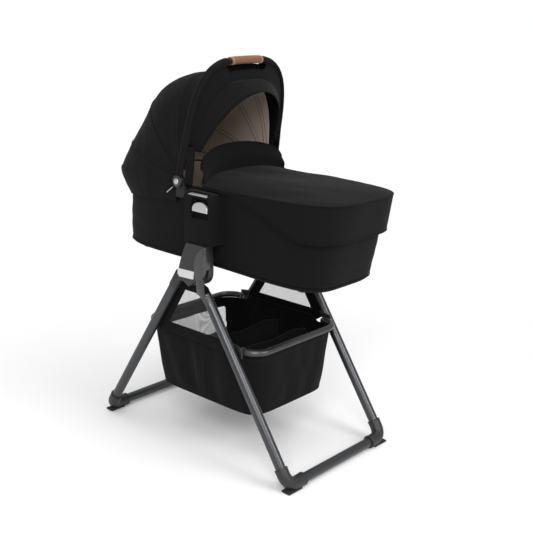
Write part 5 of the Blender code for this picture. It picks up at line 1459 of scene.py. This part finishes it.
bpy.ops.mesh.primitive_plane_add(size=40.0, location=(0, 0, 0))
floor = bpy.context.active_object
floor.name = "floor"
floor_finish = finish("pale_floor", "F2F2F2", 0.9)
tree = floor_finish.node_tree
place_floor = add_node(tree, "ShaderNodeTexCoord")
distance = add_node(tree, "ShaderNodeVectorMath", None, {0: place_floor.outputs["Object"]},
                    operation="LENGTH")
far_away = add_node(tree, "ShaderNodeMapRange", {"From Min": 0.75, "From Max": 1.35},
                    {"Value": distance.outputs["Value"]}, interpolation_type="SMOOTHSTEP")
path = add_node(tree, "ShaderNodeLightPath")
seen = add_node(tree, "ShaderNodeMath", None,
                {0: far_away.outputs["Result"], 1: path.outputs["Is Camera Ray"]}, operation="MULTIPLY")
white = add_node(tree, "ShaderNodeEmission", {"Color": (1, 1, 1, 1), "Strength": 1.0})
blank = add_node(tree, "ShaderNodeMixShader", None, {0: seen.outputs[0],
                                                     1: tree.nodes["Principled BSDF"].outputs["BSDF"],
                                                     2: white.outputs["Emission"]})
tree.links.new(blank.outputs["Shader"], tree.nodes["Material Output"].inputs["Surface"])
floor.data.materials.append(floor_finish)


def lamp(name, position, aim, size, power):
    """A soft white disk lamp aimed at a point."""
    light = bpy.data.lights.new(name, "AREA")
    light.shape = "DISK"
    light.size = size
    light.energy = power
    holder = link_new(name, light)
    holder.location = position
    holder.rotation_euler = (Vector(aim) - Vector(position)).to_track_quat("-Z", "Y").to_euler()


lamp("key_light", (2.4, -2.9, 2.8), (0, 0, 0.6), 2.2, 105)
lamp("foot_light", (3.6, 0.3, 2.4), (0, 0, 0.7), 1.8, 62)
lamp("top_light", (0.2, 0.2, 4.4), (0, 0, 0.6), 4.6, 84)

world = bpy.data.worlds.new("daylight")
bpy.context.scene.world = world
world.use_nodes = True
tree = world.node_tree
background = tree.nodes["Background"]
background.inputs["Color"].default_value = (1, 1, 1, 1)
background.inputs["Strength"].default_value = 0.56
bare = add_node(tree, "ShaderNodeBackground", {"Color": (1, 1, 1, 1), "Strength": 1.0})
path = add_node(tree, "ShaderNodeLightPath")
mixed = add_node(tree, "ShaderNodeMixShader", None, {0: path.outputs["Is Camera Ray"],
                                                     1: background.outputs["Background"],
                                                     2: bare.outputs["Background"]})
tree.links.new(mixed.outputs["Shader"], tree.nodes["World Output"].inputs["Surface"])

az, el, roll = CAMERA_AZIMUTH, CAMERA_ELEVATION, CAMERA_ROLL
back = Vector((math.sin(az) * math.cos(el), -math.cos(az) * math.cos(el), math.sin(el)))
right = Vector((math.cos(az), math.sin(az), 0.0))
up = back.cross(right)
right, up = right * math.cos(roll) + up * math.sin(roll), up * math.cos(roll) - right * math.sin(roll)
camera = link_new("camera", bpy.data.cameras.new("camera"))
camera.data.lens = CAMERA_LENS
camera.data.sensor_width = 36.0
eye = Vector(CAMERA_TARGET) + back * CAMERA_DISTANCE
camera.matrix_world = Matrix((right, up, back)).transposed().to_4x4()
camera.matrix_world.translation = eye
bpy.context.scene.camera = camera
bpy.context.scene.view_settings.view_transform = "Standard"
